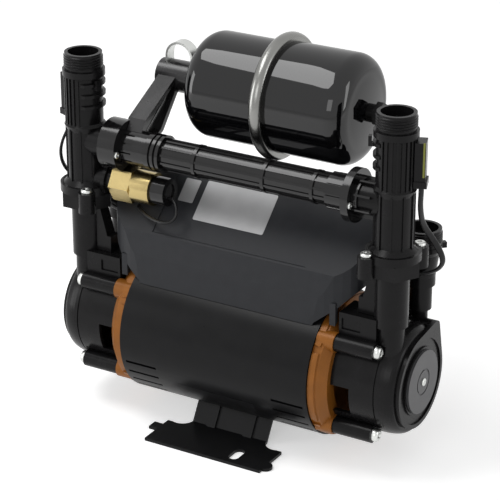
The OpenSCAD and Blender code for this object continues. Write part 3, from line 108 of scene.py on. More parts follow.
class StageSettings(bpy.types.PropertyGroup):
    """Camera, floor and light."""

    lens: bpy.props.FloatProperty(
        name="Lens", description="Focal length of the camera in millimetres on a 36 mm sensor",
        default=154.9, min=30, max=400, unit="CAMERA")
    camera_at: bpy.props.FloatVectorProperty(
        name="Camera place", description="Where the camera stands",
        subtype="TRANSLATION", unit="LENGTH", size=3, default=(0.6948, -1.1877, 0.7310))
    camera_look: bpy.props.FloatVectorProperty(
        name="Camera direction", description="Which way the camera looks",
        subtype="DIRECTION", size=3, default=(-0.46245, 0.79196, -0.39875))
    key: bpy.props.FloatProperty(
        name="Key light", description="Power of the large soft box above, in watts",
        default=8.0, min=0, max=400, subtype="POWER")
    fill: bpy.props.FloatProperty(
        name="Fill light", description="Power of the soft box by the camera; those at the sides follow it",
        default=4.2, min=0, max=400, subtype="POWER")
    world: bpy.props.FloatProperty(
        name="World light", description="Strength of the even white light from all round",
        default=0.42, min=0, max=2)
    floor: bpy.props.FloatVectorProperty(
        name="Floor", description="Colour of the pale floor",
        subtype="COLOR", size=3, min=0, max=1, default=(0.95, 0.95, 0.95))
    floor_white: bpy.props.FloatProperty(
        name="Floor white", description="White added where the floor is seen, which lights nothing",
        default=0.45, min=0, max=1, subtype="FACTOR")


def sizes():
    return bpy.context.scene.pump_sizes


def colours():
    return bpy.context.scene.pump_colours


def stage_settings():
    return bpy.context.scene.pump_stage


# How every finish is made

# Noise scale of the mottling as a share of the grain's, and the noise levels of its two tones
MOTTLE_SHARE = 0.06
MOTTLE_LOW = 0.3
MOTTLE_HIGH = 0.7
MOTTLE_DETAIL = 3.0
GRAIN_DETAIL = 2.0
GRAIN_DEPTH = 0.2 * MM
SMOOTHEST = 0.02


def noise(nt, place, scale, detail):
    """The value of a noise texture over the piece."""
    texture = nt.nodes.new("ShaderNodeTexNoise")
    texture.inputs["Scale"].default_value = scale
    texture.inputs["Detail"].default_value = detail
    nt.links.new(place, texture.inputs["Vector"])
    return texture.outputs[0]


def two_tones(nt, level, colour, vary):
    """The colour, darker where the level is low and lighter where it is high."""
    ramp = nt.nodes.new("ShaderNodeValToRGB")
    stops = ramp.color_ramp.elements
    for stop, at, tone in zip(stops, (MOTTLE_LOW, MOTTLE_HIGH), (1 - vary, 1 + vary)):
        stop.position = at
        stop.color = (*[min(1, c * tone) for c in colour], 1)
    nt.links.new(level, ramp.inputs[0])
    return ramp.outputs[0]


def material(name, colour, rough=0.4, metal=0.0, specular=0.5, grain=700.0, bump=0.0, vary=0.12,
             rough_vary=0.1, coat=0.0, coat_rough=0.1, coat_ior=1.5, stretch=(1, 1, 1)):
    """A finish with mottled colour, uneven roughness and a grain that catches the light."""
    made = bpy.data.materials.get(name)
    if made:
        return made
    finish = bpy.data.materials.new(name)
    finish.use_nodes = True
    nt = finish.node_tree
    nt.nodes.clear()
    out = nt.nodes.new("ShaderNodeOutputMaterial")
    shader = nt.nodes.new("ShaderNodeBsdfPrincipled")
    nt.links.new(shader.outputs[0], out.inputs[0])
    shader.inputs["Metallic"].default_value = metal
    shader.inputs["Specular IOR Level"].default_value = specular
    shader.inputs["Coat Weight"].default_value = coat
    shader.inputs["Coat Roughness"].default_value = coat_rough
    shader.inputs["Coat IOR"].default_value = coat_ior
    place = nt.nodes.new("ShaderNodeTexCoord")
    mapping = nt.nodes.new("ShaderNodeMapping")
    mapping.inputs["Scale"].default_value = stretch
    nt.links.new(place.outputs["Object"], mapping.inputs[0])
    mottle = noise(nt, mapping.outputs[0], grain * MOTTLE_SHARE, MOTTLE_DETAIL)
    nt.links.new(two_tones(nt, mottle, colour, vary), shader.inputs["Base Color"])
    spread = nt.nodes.new("ShaderNodeMapRange")
    spread.inputs["To Min"].default_value = max(SMOOTHEST, rough - rough_vary)
    spread.inputs["To Max"].default_value = min(1.0, rough + rough_vary)
    nt.links.new(mottle, spread.inputs[0])
    nt.links.new(spread.outputs[0], shader.inputs["Roughness"])
    if bump:
        relief = nt.nodes.new("ShaderNodeBump")
        relief.inputs["Strength"].default_value = bump
        relief.inputs["Distance"].default_value = GRAIN_DEPTH
        nt.links.new(noise(nt, mapping.outputs[0], grain, GRAIN_DETAIL), relief.inputs["Height"])
        nt.links.new(relief.outputs[0], shader.inputs["Normal"])
    return finish


# Finishes of plastic and rubber

def moulded(name, tint=1.0, rough=0.26, specular=0.14):
    """A moulding whose colour is the set plastic times the tint."""
    return material(name, [c * tint for c in colours().plastic], rough=rough, specular=specular,
                    grain=1500.0, bump=0.12, vary=0.15, rough_vary=0.07)


def moulded_black():
    return moulded("moulded black")


def moulded_gloss():
    return moulded("moulded gloss", tint=0.9, rough=0.13, specular=0.42)


def arm_satin():
    return moulded("arm satin", tint=2.2, rough=0.24, specular=0.5)


def cover_charcoal():
    return material("cover charcoal", colours().cover, rough=0.42, specular=0.14, grain=2200.0,
                    bump=0.3, vary=0.06, rough_vary=0.05)


def disc_grey():
    return material("disc grey", (0.066, 0.066, 0.069), specular=0.4, grain=1500.0, bump=0.15,
                    vary=0.07)


def impeller_resin():
    return material("impeller resin", (0.62, 0.5, 0.28), rough=0.45, grain=900.0, bump=0.1)


def float_white():
    return material("float white", (0.75, 0.75, 0.72), grain=900.0, bump=0.05)


def board_green():
    return material("board green", (0.02, 0.11, 0.045), rough=0.35, grain=800.0, bump=0.1)


def rubber():
    return material("rubber", (0.012, 0.012, 0.012), rough=0.55, grain=1200.0, bump=0.1)


def lead_sheath():
    return material("lead sheath", (0.009, 0.009, 0.0095), rough=0.28, specular=0.2, grain=900.0,
                    bump=0.08, vary=0.1, rough_vary=0.05)


# Finishes of painted and bare metal

def motor_satin():
    return material("motor satin", (0.0055, 0.0055, 0.006), rough=0.3, specular=0.14, grain=1400.0,
                    bump=0.1, vary=0.1, rough_vary=0.05)


def shield_orange():
    return material("shield orange", colours().shield, rough=0.36, metal=0.1, specular=0.22,
                    grain=1600.0, bump=0.25, vary=0.08, rough_vary=0.06)


def foot_powder_coat():
    return material("foot powder coat", (0.009, 0.009, 0.0095), rough=0.34, specular=0.14,
                    grain=1600.0, bump=0.2, vary=0.1, rough_vary=0.06)


def vessel_gloss():
    return material("vessel gloss", colours().tank, rough=0.12, specular=0.0, grain=60.0, vary=0.1,
                    rough_vary=0.03, coat=0.75, coat_rough=0.03, coat_ior=1.6)


def ring_steel():
    return material("ring steel", colours().steel, rough=0.26, metal=1.0, grain=500.0, bump=0.12,
                    vary=0.08, rough_vary=0.06)


def brass():
    return material("brass", colours().brass, rough=0.24, metal=1.0, grain=600.0, bump=0.08,
                    vary=0.1, rough_vary=0.07)


def zinc():
    return material("zinc plate", (0.63, 0.64, 0.62), rough=0.3, metal=1.0, grain=900.0, bump=0.1,
                    vary=0.1)


def ground_steel():
    return material("ground steel", (0.5, 0.5, 0.51), rough=0.3, metal=1.0, grain=900.0, bump=0.1,
                    vary=0.1)


def copper_wire():
    return material("copper wire", (0.62, 0.26, 0.1), rough=0.35, metal=1.0, grain=1200.0, bump=0.3,
                    stretch=(1, 6, 6))


# Finishes of the labels and the floor

def label_silver():
    return material("label silver", (0.38, 0.38, 0.385), rough=0.45, metal=0.4, grain=1300.0,
                    bump=0.05, vary=0.05, rough_vary=0.05)


def strip_yellow_green():
    return material("strip yellow green", (0.20, 0.21, 0.02), grain=900.0, bump=0.05, vary=0.06)


def floor_finish():
    return material("stage floor", stage_settings().floor, rough=0.9, specular=0.1, grain=40.0,
                    vary=0.01)


# The finish of each node of the frame: a node that isn't named here is moulded black
NODE_FINISHES = (
    (cover_charcoal, ("terminal_cover",)),
    (motor_satin, ("motor_cover",)),
    (shield_orange, ("left_end_shield", "right_end_shield")),
    (foot_powder_coat, ("foot_bracket",)),
    (vessel_gloss, ("tank_left_shell", "tank_right_shell")),
    (ring_steel, ("tank_ring",)),
    (arm_satin, ("tank_arm",)),
    (brass, ("pressure_switch",)),
    (moulded_gloss, ("bridge_tube", "collar_nut", "bridge_tee", "bridge_socket", "switch_cap")),
    (disc_grey, ("end_discs",)),
    (zinc, ("end_disc_screws", "foot_screws", "tie_screws", "column_screws", "bridge_screws",
            "tank_clip")),
    (ground_steel, ("motor_shaft", "rotor_core", "stator_core", "ball_bearings", "capacitor")),
    (copper_wire, ("stator_winding",)),
    (rubber, ("shaft_seals", "body_seals", "column_seals", "bridge_seals", "tank_diaphragm",
              "left_sensor_lead", "right_sensor_lead", "switch_lead")),
    (impeller_resin, ("left_impeller", "right_impeller")),
    (float_white, ("left_flow_float", "right_flow_float", "float_stops")),
    (board_green, ("circuit_board",)),
)


# White that is seen and lights nothing

def white_is_seen(nt):
    """A socket that is 1 where the camera, a reflection or a clear piece looks, and 0 elsewhere."""
    path = nt.nodes.new("ShaderNodeLightPath")
    seen = path.outputs["Is Camera Ray"]
    for kind in ("Is Glossy Ray", "Is Transmission Ray"):
        either = nt.nodes.new("ShaderNodeMath")
        either.operation = "MAXIMUM"
        nt.links.new(seen, either.inputs[0])
        nt.links.new(path.outputs[kind], either.inputs[1])
        seen = either.outputs[0]
    return seen


def whiten_floor(finish, strength):
    """Adds white to the floor where it is seen, and lights nothing with it."""
    nt = finish.node_tree
    out = next(n for n in nt.nodes if n.bl_idname == "ShaderNodeOutputMaterial")
    base = out.inputs[0].links[0].from_socket
    gain = nt.nodes.new("ShaderNodeMath")
    gain.operation = "MULTIPLY"
    gain.inputs[1].default_value = strength
    nt.links.new(white_is_seen(nt), gain.inputs[0])
    glow = nt.nodes.new("ShaderNodeEmission")
    nt.links.new(gain.outputs[0], glow.inputs["Strength"])
    add = nt.nodes.new("ShaderNodeAddShader")
    nt.links.new(base, add.inputs[0])
    nt.links.new(glow.outputs[0], add.inputs[1])
    nt.links.new(add.outputs[0], out.inputs[0])


def whiten_world(world):
    """The world is white where it is seen, and gives its own plain light to the object."""
    nt = world.node_tree
    white = nt.nodes.new("ShaderNodeBackground")
    white.inputs[0].default_value = (1, 1, 1, 1)
    mix = nt.nodes.new("ShaderNodeMixShader")
    nt.links.new(white_is_seen(nt), mix.inputs[0])
    nt.links.new(nt.nodes["Background"].outputs[0], mix.inputs[1])
    nt.links.new(white.outputs[0], mix.inputs[2])
    nt.links.new(mix.outputs[0], nt.nodes["World Output"].inputs[0])


# Making pieces

def new_object(name, mesh, mat, smooth):
    """Puts a mesh in the scene in its finish."""
    if smooth:
        mesh.polygons.foreach_set("use_smooth", [True] * len(mesh.polygons))
    mesh.materials.append(mat)
    made = bpy.data.objects.new(name, mesh)
    bpy.context.collection.objects.link(made)
    return made


def object_from_lists(name, verts, faces, mat, smooth=True):
    mesh = bpy.data.meshes.new(name)
    mesh.from_pydata([tuple(v) for v in verts], [], faces)
    mesh.validate()
    mesh.update()
    return new_object(name, mesh, mat, smooth)


def housing_piece(name, bm, mat, smooth=True):
    """A piece from a bmesh, riding on the housing."""
    bmesh.ops.recalc_face_normals(bm, faces=bm.faces)
    mesh = bpy.data.meshes.new(name)
    bm.to_mesh(mesh)
    bm.free()
    piece = new_object(name, mesh, mat, smooth)
    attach(piece, "housing")
    return piece


def stand_for(piece, node):
    """Hides the node, so that the piece shows in the node's place."""
    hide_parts(node)


def around(angle, radius):
    """The two coordinates of a point on a circle."""
    return radius * math.cos(angle), radius * math.sin(angle)


def join_rings(bm, lower, upper):
    """Faces between two rings with the same number of points."""
    count = len(lower)
    for i in range(count):
        j = (i + 1) % count
        bm.faces.new((lower[i], lower[j], upper[j], upper[i]))


# Camera and stage

SENSOR_WIDTH = 36.0
FAR_CLIP = 50.0
FLOOR_HALF = 4.0
FLOOR_DROP = 0.2 * MM

# Name, place, aim, width and height of each soft box, and the light whose power it has a share of
SOFT_BOXES = (
    ("soft_top", (-0.6, -0.32, 1.45), (0, 0, 0.2), (0.95, 0.5), "key", 1.0),
    ("soft_camera", (0.2, -1.7, 0.9), (0, 0, 0.12), (0.9, 0.7), "fill", 1.0),
    ("soft_left", (-1.2, -0.9, 0.45), (0, 0, 0.12), (0.5, 0.9), "fill", 1.5),
    ("soft_right", (1.5, 0.2, 0.6), (0, 0, 0.12), (0.35, 1.0), "fill", 0.9),
)


class PUMP_OT_camera(bpy.types.Operator):
    """Set the camera that matches the photograph's viewing angle"""

    bl_idname = "pump.camera"
    bl_label = "Camera"

    def execute(self, context):
        stage = stage_settings()
        data = bpy.data.cameras.new("view")
        data.lens = stage.lens
        data.sensor_width = SENSOR_WIDTH
        data.clip_end = FAR_CLIP
        camera = bpy.data.objects.new("view", data)
        context.collection.objects.link(camera)
        camera.location = stage.camera_at
        camera.rotation_euler = Vector(stage.camera_look).to_track_quat("-Z", "Y").to_euler()
        context.scene.camera = camera
        return {"FINISHED"}


class PUMP_OT_stage(bpy.types.Operator):
    """Lay the pale floor and set the soft studio lights"""

    bl_idname = "pump.stage"
    bl_label = "Stage"

    def execute(self, context):
        stage = stage_settings()
        context.scene.view_settings.view_transform = "Standard"
        world = bpy.data.worlds.new("studio")
        context.scene.world = world
        world.use_nodes = True
        background = world.node_tree.nodes["Background"]
        background.inputs[0].default_value = (1, 1, 1, 1)
        background.inputs[1].default_value = stage.world
        whiten_world(world)
        finish = floor_finish()
        whiten_floor(finish, stage.floor_white)
        square = ((-1, -1), (1, -1), (1, 1), (-1, 1))
        corners = [(x * FLOOR_HALF, y * FLOOR_HALF, -FLOOR_DROP) for x, y in square]
        floor = object_from_lists("stage_floor", corners, [(0, 1, 2, 3)], finish, smooth=False)
        for name, at, aim, size, light, share in SOFT_BOXES:
            lamp = bpy.data.lights.new(name, "AREA")
            lamp.shape = "RECTANGLE"
            lamp.size, lamp.size_y = size
            lamp.energy = getattr(stage, light) * share
            box = bpy.data.objects.new(name, lamp)
            context.collection.objects.link(box)
            box.location = at
            box.rotation_euler = (Vector(aim) - Vector(at)).to_track_quat("-Z", "Y").to_euler()
        return {"FINISHED"}


class PUMP_OT_finishes(bpy.types.Operator):
    """Give each node of the frame its finish"""

    bl_idname = "pump.finishes"
    bl_label = "Finishes"

    def execute(self, context):
        finish_of = {name: finish for finish, names in NODE_FINISHES for name in names}
        for name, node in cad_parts.items():
            node.data.materials.clear()
            node.data.materials.append(finish_of.get(name, moulded_black)())
        return {"FINISHED"}


# Port threads

THREAD_CORE_R = 13.22 * MM
THREAD_LEN = 11.2 * MM
THREAD_BELOW_RIM = 0.4 * MM
THREAD_SINK = 0.1 * MM
THREAD_SIDES = 48
# The ridge's section: distance along the port in pitches, and share of the ridge's height
RIDGE_SECTION = ((-0.40, 0.0), (-0.10, 1.0), (0.10, 1.0), (0.40, 0.0))
# Part of a turn over which the ridge rises at one end and fades out at the other
FADE_TURN = 0.35


def thread_mesh(bm, at, low, high, ridge, pitch):
    """A helical ridge round an upright port, fading out at both ends."""
    run = high - low - pitch
    steps = int(run / pitch * THREAD_SIDES)
    fade_steps = THREAD_SIDES * FADE_TURN
    rows = []
    for i in range(steps + 1):
        angle = 2 * math.pi * i / THREAD_SIDES
        z = low + pitch / 2 + run * i / steps
        fade = min(1.0, i / fade_steps, (steps - i) / fade_steps)
        row = []
        for along, height in RIDGE_SECTION:
            x, y = around(angle, THREAD_CORE_R - THREAD_SINK + (ridge + THREAD_SINK) * height * fade)
            row.append(bm.verts.new((at[0] + x, at[1] + y, z + along * pitch)))
        rows.append(row)
    for a, b in zip(rows, rows[1:]):
        for k in range(len(RIDGE_SECTION) - 1):
            bm.faces.new((a[k], b[k], b[k + 1], a[k + 1]))
    bm.faces.new(rows[0])
    bm.faces.new(rows[-1][::-1])


class PUMP_OT_threads(bpy.types.Operator):
    """Wind the ridges of the pipe threads round the four ports"""

    bl_idname = "pump.threads"
    bl_label = "Port threads"

    def execute(self, context):
        size = sizes()
        ports = (("outlet", OUTLET_Y, OUTLET_RIM_H), ("inlet", INLET_Y, INLET_RIM_H))
        for side, sx in (("left", -1), ("right", 1)):
            for kind, y, rim_h in ports:
                high = rim_h - THREAD_BELOW_RIM
                low = high - THREAD_LEN
                bm = bmesh.new()
                thread_mesh(bm, (sx * PORT_X, y), low, high, size.thread_depth, size.thread_pitch)
                thread = housing_piece(f"{side}_{kind}_thread", bm, moulded_black(), smooth=False)
        return {"FINISHED"}


# Screw heads

SCREW_SIDES = 32
# A pan head's section from its seat to its flat top, in shares of its radius and height
HEAD_SECTION = ((0.98, 0.0), (1.0, 0.12), (1.0, 0.55), (0.93, 0.8), (0.78, 0.95), (0.62, 1.0))
# The cross recess: half width and reach of its arms, depth, and size of its floor against its mouth
RECESS_HALF_SHARE = 0.14
RECESS_REACH_SHARE = 0.52
RECESS_DEPTH_SHARE = 0.55
RECESS_FLOOR_SHARE = 0.45

# Radius and height of each kind of head, where its heads stand, and how far its recesses are turned
TIE_HEAD = (4.7 * MM, 4.5 * MM)
TIE_X = 117 * MM
TIE_Y = 32 * MM
TIE_UP = 31 * MM
TIE_ROLL = 0.7
COLUMN_HEAD = (4.1 * MM, 2.8 * MM)
COLUMN_SCREW_R = 20.4 * MM
COLUMN_SCREW_H = 166 * MM
COLUMN_SCREW_DEG = (57, 237)
COLUMN_ROLL = 0.4
BRIDGE_HEAD = (2.4 * MM, 1.6 * MM)
BRIDGE_SCREW_X = (-86 * MM, 96 * MM)
BRIDGE_SCREW_Y = -34.29 * MM
BRIDGE_SCREW_H = 198.12 * MM
BRIDGE_ROLL = 0.3
DISC_HEAD = (2.8 * MM, 1.2 * MM)
DISC_SCREW_X = 137.8 * MM
DISC_ROLL = 0.5


def screw_head(bm, at, axis, head, roll):
    """A pan head with a cross recess, standing at a place and pointing along an axis."""
    r, h = head
    facing = Vector(axis).normalized().to_track_quat("Z", "Y").to_matrix().to_4x4()
    place = Matrix.Translation(at) @ facing @ Matrix.Rotation(roll, 4, "Z")
    rings = []
    for wide, high in HEAD_SECTION:
        spots = [around(2 * math.pi * i / SCREW_SIDES, r * wide) for i in range(SCREW_SIDES)]
        rings.append([bm.verts.new(place @ Vector((x, y, h * high))) for x, y in spots])
    for lower, upper in zip(rings, rings[1:]):
        join_rings(bm, lower, upper)
    half = r * RECESS_HALF_SHARE
    reach = r * RECESS_REACH_SHARE
    floor_h = h - h * RECESS_DEPTH_SHARE
    plus = [(half, half), (half, reach), (-half, reach), (-half, half), (-reach, half), (-reach, -half),
            (-half, -half), (-half, -reach), (half, -reach), (half, -half), (reach, -half), (reach, half)]
    small = [(x * RECESS_FLOOR_SHARE, y * RECESS_FLOOR_SHARE) for x, y in plus]
    mouth = [bm.verts.new(place @ Vector((x, y, h))) for x, y in plus]
    floor = [bm.verts.new(place @ Vector((x, y, floor_h))) for x, y in small]
    for i in range(len(plus)):
        j = (i + 1) % len(plus)
        bm.faces.new((mouth[i], floor[i], floor[j], mouth[j]))
    bm.faces.new(floor[::-1])
    edges = []
    for ring in (rings[-1], mouth):
        edges += [bm.edges.get((a, b)) for a, b in zip(ring, ring[1:] + ring[:1])]
    bmesh.ops.triangle_fill(bm, use_beauty=True, edges=edges)


def tie_places():
    """Place, axis and turn of the tie screws' heads, four at each end."""
    corners = [(sx, sy, sz) for sx in (-1, 1) for sy in (-1, 1) for sz in (-1, 1)]
    for k, (sx, sy, sz) in enumerate(corners, start=1):
        yield (sx * TIE_X, sy * TIE_Y, AXIS_H + sz * TIE_UP), (sx, 0, 0), TIE_ROLL * k


def column_places():
    """Place, axis and turn of the heads at the foot of each outlet column."""
    for sx in (-1, 1):
        for k, degrees in enumerate(COLUMN_SCREW_DEG):
            out, back = around(math.radians(degrees), COLUMN_SCREW_R)
            at = (sx * (PORT_X + out), OUTLET_Y + back, COLUMN_SCREW_H)
            yield at, (0, 0, 1), COLUMN_ROLL + k


def bridge_places():
    """Place, axis and turn of the heads in front of the bridge."""
    for x in BRIDGE_SCREW_X:
        yield (x, BRIDGE_SCREW_Y, BRIDGE_SCREW_H), (1, 0, 0), BRIDGE_ROLL


def disc_places():
    """Place, axis and turn of the head in each end disc."""
    for sx in (-1, 1):
        yield (sx * DISC_SCREW_X, 0, AXIS_H), (sx, 0, 0), DISC_ROLL


class PUMP_OT_screws(bpy.types.Operator):
    """Set the cross-head screws over the frame's plain heads"""

    bl_idname = "pump.screws"
    bl_label = "Screw heads"

    def execute(self, context):
        for name, node, head, places in (
            ("tie_screw_heads", "tie_screws", TIE_HEAD, tie_places()),
            ("column_screw_heads", "column_screws", COLUMN_HEAD, column_places()),
            ("bridge_screw_heads", "bridge_screws", BRIDGE_HEAD, bridge_places()),
            ("disc_screw_heads", "end_disc_screws", DISC_HEAD, disc_places()),
        ):
            bm = bmesh.new()
            for at, axis, roll in places:
                screw_head(bm, Vector(at), axis, head, roll)
            stand_for(housing_piece(name, bm, zinc()), node)
        return {"FINISHED"}


# Vessel shells

VESSEL_AT = (8.5 * MM, 35 * MM, 237 * MM)
LEFT_SHELL_R = 37.8 * MM
RIGHT_SHELL_R = 39 * MM
# Half the gap between the two flanges, where the diaphragm is held
FLANGE_HALF_GAP = 0.7 * MM
FLANGE_R = 41.8 * MM
SHELL_WALL = 1.2 * MM
# Length of one shell without its crown, the round at its end, and the crown's rise
SHELL_LEN = 63 * MM
SHELL_ROUND = 13 * MM
SHELL_CROWN = 2 * MM
# The nozzle stands on the left shell alone
NOZZLE_R = 6 * MM
NOZZLE_BORE_R = 2.6 * MM
NOZZLE_LEN = 13 * MM
SHELL_SIDES = 128
SIDE_STEPS = 4
CROWN_STEPS = 8
ROUND_STEP_DEG = 6
SHARP_EDGE_DEG = 40


def shell_section(radius, middle_r):
    """Radius and distance from the vessel's middle along a shell, from its flange to its nozzle or tip."""
    end = FLANGE_HALF_GAP + SHELL_LEN
    side_from = FLANGE_HALF_GAP + SHELL_WALL
    side_len = SHELL_LEN - SHELL_ROUND - SHELL_WALL
    flat_r = radius - SHELL_ROUND
    section = [(FLANGE_R, FLANGE_HALF_GAP), (FLANGE_R, side_from)]
    section += [(radius, side_from + side_len * k / SIDE_STEPS) for k in range(SIDE_STEPS)]
    for degrees in range(0, 91, ROUND_STEP_DEG):
        out, along = around(math.radians(degrees), SHELL_ROUND)
        section.append((flat_r + out, end - SHELL_ROUND + along))
    for k in range(1, CROWN_STEPS + 1):
        share = k / CROWN_STEPS
        r = flat_r * (1 - share) + middle_r * share
        section.append((r, end + SHELL_CROWN * (1 - (r / flat_r) ** 2)))
    if middle_r:
        tip = end + NOZZLE_LEN
        section += [(middle_r, tip), (NOZZLE_BORE_R, tip), (NOZZLE_BORE_R, end)]
    return section


def spin_shell(bm, section, side):
    """An open skin turned about the vessel's middle line, closed where its section ends on that line."""
    x0, y0, z0 = VESSEL_AT
    rings = []
    for r, along in section:
        count = SHELL_SIDES if r else 1
        spots = [around(2 * math.pi * i / SHELL_SIDES, r) for i in range(count)]
        rings.append([bm.verts.new((x0 + side * along, y0 + y, z0 + z)) for y, z in spots])
    for lower, upper in zip(rings, rings[1:]):
        if len(upper) > 1:
            join_rings(bm, lower, upper)
            continue
        for i in range(SHELL_SIDES):
            bm.faces.new((lower[i], lower[(i + 1) % SHELL_SIDES], upper[0]))


class PUMP_OT_shells(bpy.types.Operator):
    """Spin the two glossy shells of the pressure vessel"""

    bl_idname = "pump.shells"
    bl_label = "Vessel shells"

    def execute(self, context):
        for side, sx, radius, middle_r in (
            ("left", -1, LEFT_SHELL_R, NOZZLE_R),
            ("right", 1, RIGHT_SHELL_R, 0),
        ):
            bm = bmesh.new()
            spin_shell(bm, shell_section(radius, middle_r), sx)
            shell = housing_piece(f"{side}_shell_skin", bm, vessel_gloss())
            shell.data.set_sharp_from_angle(angle=math.radians(SHARP_EDGE_DEG))
            stand_for(shell, f"tank_{side}_shell")
        return {"FINISHED"}


# Socket fins

FIN_COUNT = 8
FIN_TURN_DEG = 22.5
FIN_FROM_X = 96.3 * MM
FIN_TO_X = 109.7 * MM
FIN_FROM_R = 9.6 * MM
FIN_TO_R = 14 * MM
FIN_THICK = 1.5 * MM


class PUMP_OT_fins(bpy.types.Operator):
    """Raise the fins between the right bridge socket and its column"""

    bl_idname = "pump.fins"
    bl_label = "Socket fins"

    def execute(self, context):
        bm = bmesh.new()
        centre = Matrix.Translation(((FIN_FROM_X + FIN_TO_X) / 2, OUTLET_Y, BRIDGE_H))
        out = Matrix.Translation((0, 0, (FIN_FROM_R + FIN_TO_R) / 2))
        size = Matrix.Diagonal((FIN_TO_X - FIN_FROM_X, FIN_THICK, FIN_TO_R - FIN_FROM_R, 1))
        for k in range(FIN_COUNT):
            turn = Matrix.Rotation(math.radians(FIN_TURN_DEG + 360 * k / FIN_COUNT), 4, "X")
            bmesh.ops.create_cube(bm, size=1, matrix=centre @ turn @ out @ size)
        fins = housing_piece("right_socket_fins", bm, moulded_gloss(), smooth=False)
        return {"FINISHED"}


# Blank labels and the sensor's strip

CORNER_STEPS = 5
# A label's underside clears its seat by this share of its thickness
LABEL_CLEAR_SHARE = 0.1
# The way up the sloping face of the terminal cover
COVER_SLOPE = (0, 0.73, 0.68)
# Lower left corner, width, height and corner radius of the two labels on that face
LARGE_LABEL = ((-35.6 * MM, -16.5 * MM, 154.4 * MM), 56.2 * MM, 31 * MM, 1.2 * MM)
SMALL_LABEL = ((-52.8 * MM, -8 * MM, 162.3 * MM), 12 * MM, 18 * MM, 0.8 * MM)
# The strip on a side of the right sensor: its way out from the port's middle, place and size
STRIP_TURN_DEG = 20
STRIP_OUT = 18.2 * MM
STRIP_ACROSS = 6 * MM
STRIP_H = 221 * MM
STRIP_WIDTH = 1.3 * MM
STRIP_LEN = 24 * MM
STRIP_ROUND = 0.3 * MM


def label_plate(bm, corner, across, up, wide, high, round_r):
    """A thin plate with rounded corners, standing off a face from its lower corner."""
    thick = sizes().label_thick
    a, b = Vector(across).normalized(), Vector(up).normalized()
    n = a.cross(b)
    origin = Vector(corner) + n * thick * LABEL_CLEAR_SHARE
    left, right, low, top = round_r, wide - round_r, round_r, high - round_r
    rim = []
    for quarter, (cx, cy) in enumerate(((right, low), (right, top), (left, top), (left, low)), start=-1):
        for k in range(CORNER_STEPS + 1):
            x, y = around(math.radians(90 * (quarter + k / CORNER_STEPS)), round_r)
            rim.append((cx + x, cy + y))
    under = [bm.verts.new(origin + a * x + b * y) for x, y in rim]
    over = [bm.verts.new(origin + a * x + b * y + n * thick) for x, y in rim]
    bm.faces.new(under[::-1])
    bm.faces.new(over)
    join_rings(bm, under, over)


class PUMP_OT_labels(bpy.types.Operator):
    """Stick the two blank silver labels on the cover and the coloured strip on the right sensor"""

    bl_idname = "pump.labels"
    bl_label = "Labels and strip"

    def execute(self, context):
        bm = bmesh.new()
        for corner, wide, high, round_r in (LARGE_LABEL, SMALL_LABEL):
            label_plate(bm, corner, (1, 0, 0), COVER_SLOPE, wide, high, round_r)
        housing_piece("cover_labels", bm, label_silver(), smooth=False)
        c, s = around(math.radians(STRIP_TURN_DEG), 1)
        out, across = Vector((c, s, 0)), Vector((s, -c, 0))
        corner = Vector((PORT_X, OUTLET_Y, STRIP_H)) + across * STRIP_ACROSS + out * STRIP_OUT
        bm = bmesh.new()
        label_plate(bm, corner, out, (0, 0, 1), STRIP_WIDTH, STRIP_LEN, STRIP_ROUND)
        housing_piece("right_sensor_strip", bm, strip_yellow_green(), smooth=False)
        return {"FINISHED"}


# Leads

LEAD_STEP = 1.2 * MM
LEAD_SIDES = 14
# The groove between a flat lead's two cores: depth as a share of the thickness, and spread
GROOVE_SHARE = 0.22
GROOVE_SPREAD = 0.25
LEFT_LEAD_SHARE = 0.8
SWITCH_LEAD_WIDTH = 2.6 * MM
SWITCH_LEAD_THICK = 2.2 * MM

# Routes in millimetres, from each sensor or the switch cap to where the lead goes in
RIGHT_SENSOR_ROUTE = (
    (137.5, -13, 213.4), (137.5, -13, 208), (136.4, -11, 199), (135.4, -7.6, 191),
    (134.8, -3.4, 183.6), (135.4, 1.6, 176.4), (137.4, 6.2, 169.4), (140, 9.8, 162.2),
    (142, 12.8, 155), (141.6, 15, 148.4), (138, 15.4, 143), (132, 14, 139.6),
    (125.4, 12, 137.8), (118, 10, 136.8), (110, 8.6, 136.2), (104, 8, 136), (99.1, 8, 136),
)
LEFT_SENSOR_ROUTE = (
    (-137.5, -13, 213.4), (-137.5, -13, 208), (-140, -15.4, 200.6), (-142.4, -17.4, 193.6),
    (-143.8, -18.4, 186.4), (-144, -17.6, 179.2), (-144, -14.4, 172.6), (-144.2, -9.4, 167),
    (-144.4, -3.6, 162), (-144, 2.6, 157), (-142.6, 8, 151.4), (-139, 12, 145.8),
    (-133, 13.4, 141.4), (-126, 12.4, 138.6), (-118, 10.4, 137), (-110, 8.8, 136.2),
    (-104, 8, 136), (-99.1, 8, 136),
)
SWITCH_ROUTE = (
    (-52, -22, 169), (-48.4, -22.4, 168.8), (-44.8, -24, 167), (-42.2, -26.4, 163.8),
    (-41.4, -28.8, 159.8), (-43.6, -30.6, 156.4), (-48, -31.4, 154.6), (-53.4, -31, 154),
    (-59, -29.6, 154), (-64.6, -27.6, 154.4), (-70, -25, 155), (-74.6, -22.2, 155.8),
    (-77.6, -19.6, 156.4), (-78.6, -18, 156.6),
)


def smooth_path(points, step):
    """A Catmull-Rom curve through the points, sampled about every step."""
    p = [Vector(q) for q in points]
    p = [p[0] * 2 - p[1]] + p + [p[-1] * 2 - p[-2]]
    path = []
    for a, b, c, d in zip(p, p[1:], p[2:], p[3:]):
        count = max(2, int((c - b).length / step))
        for k in range(count):
            t = k / count
            path.append(0.5 * ((2 * b) + (c - a) * t + (2 * a - 5 * b + 4 * c - d) * t * t
                               + (3 * b - a - 3 * c + d) * t ** 3))
    path.append(p[-2])
    return path


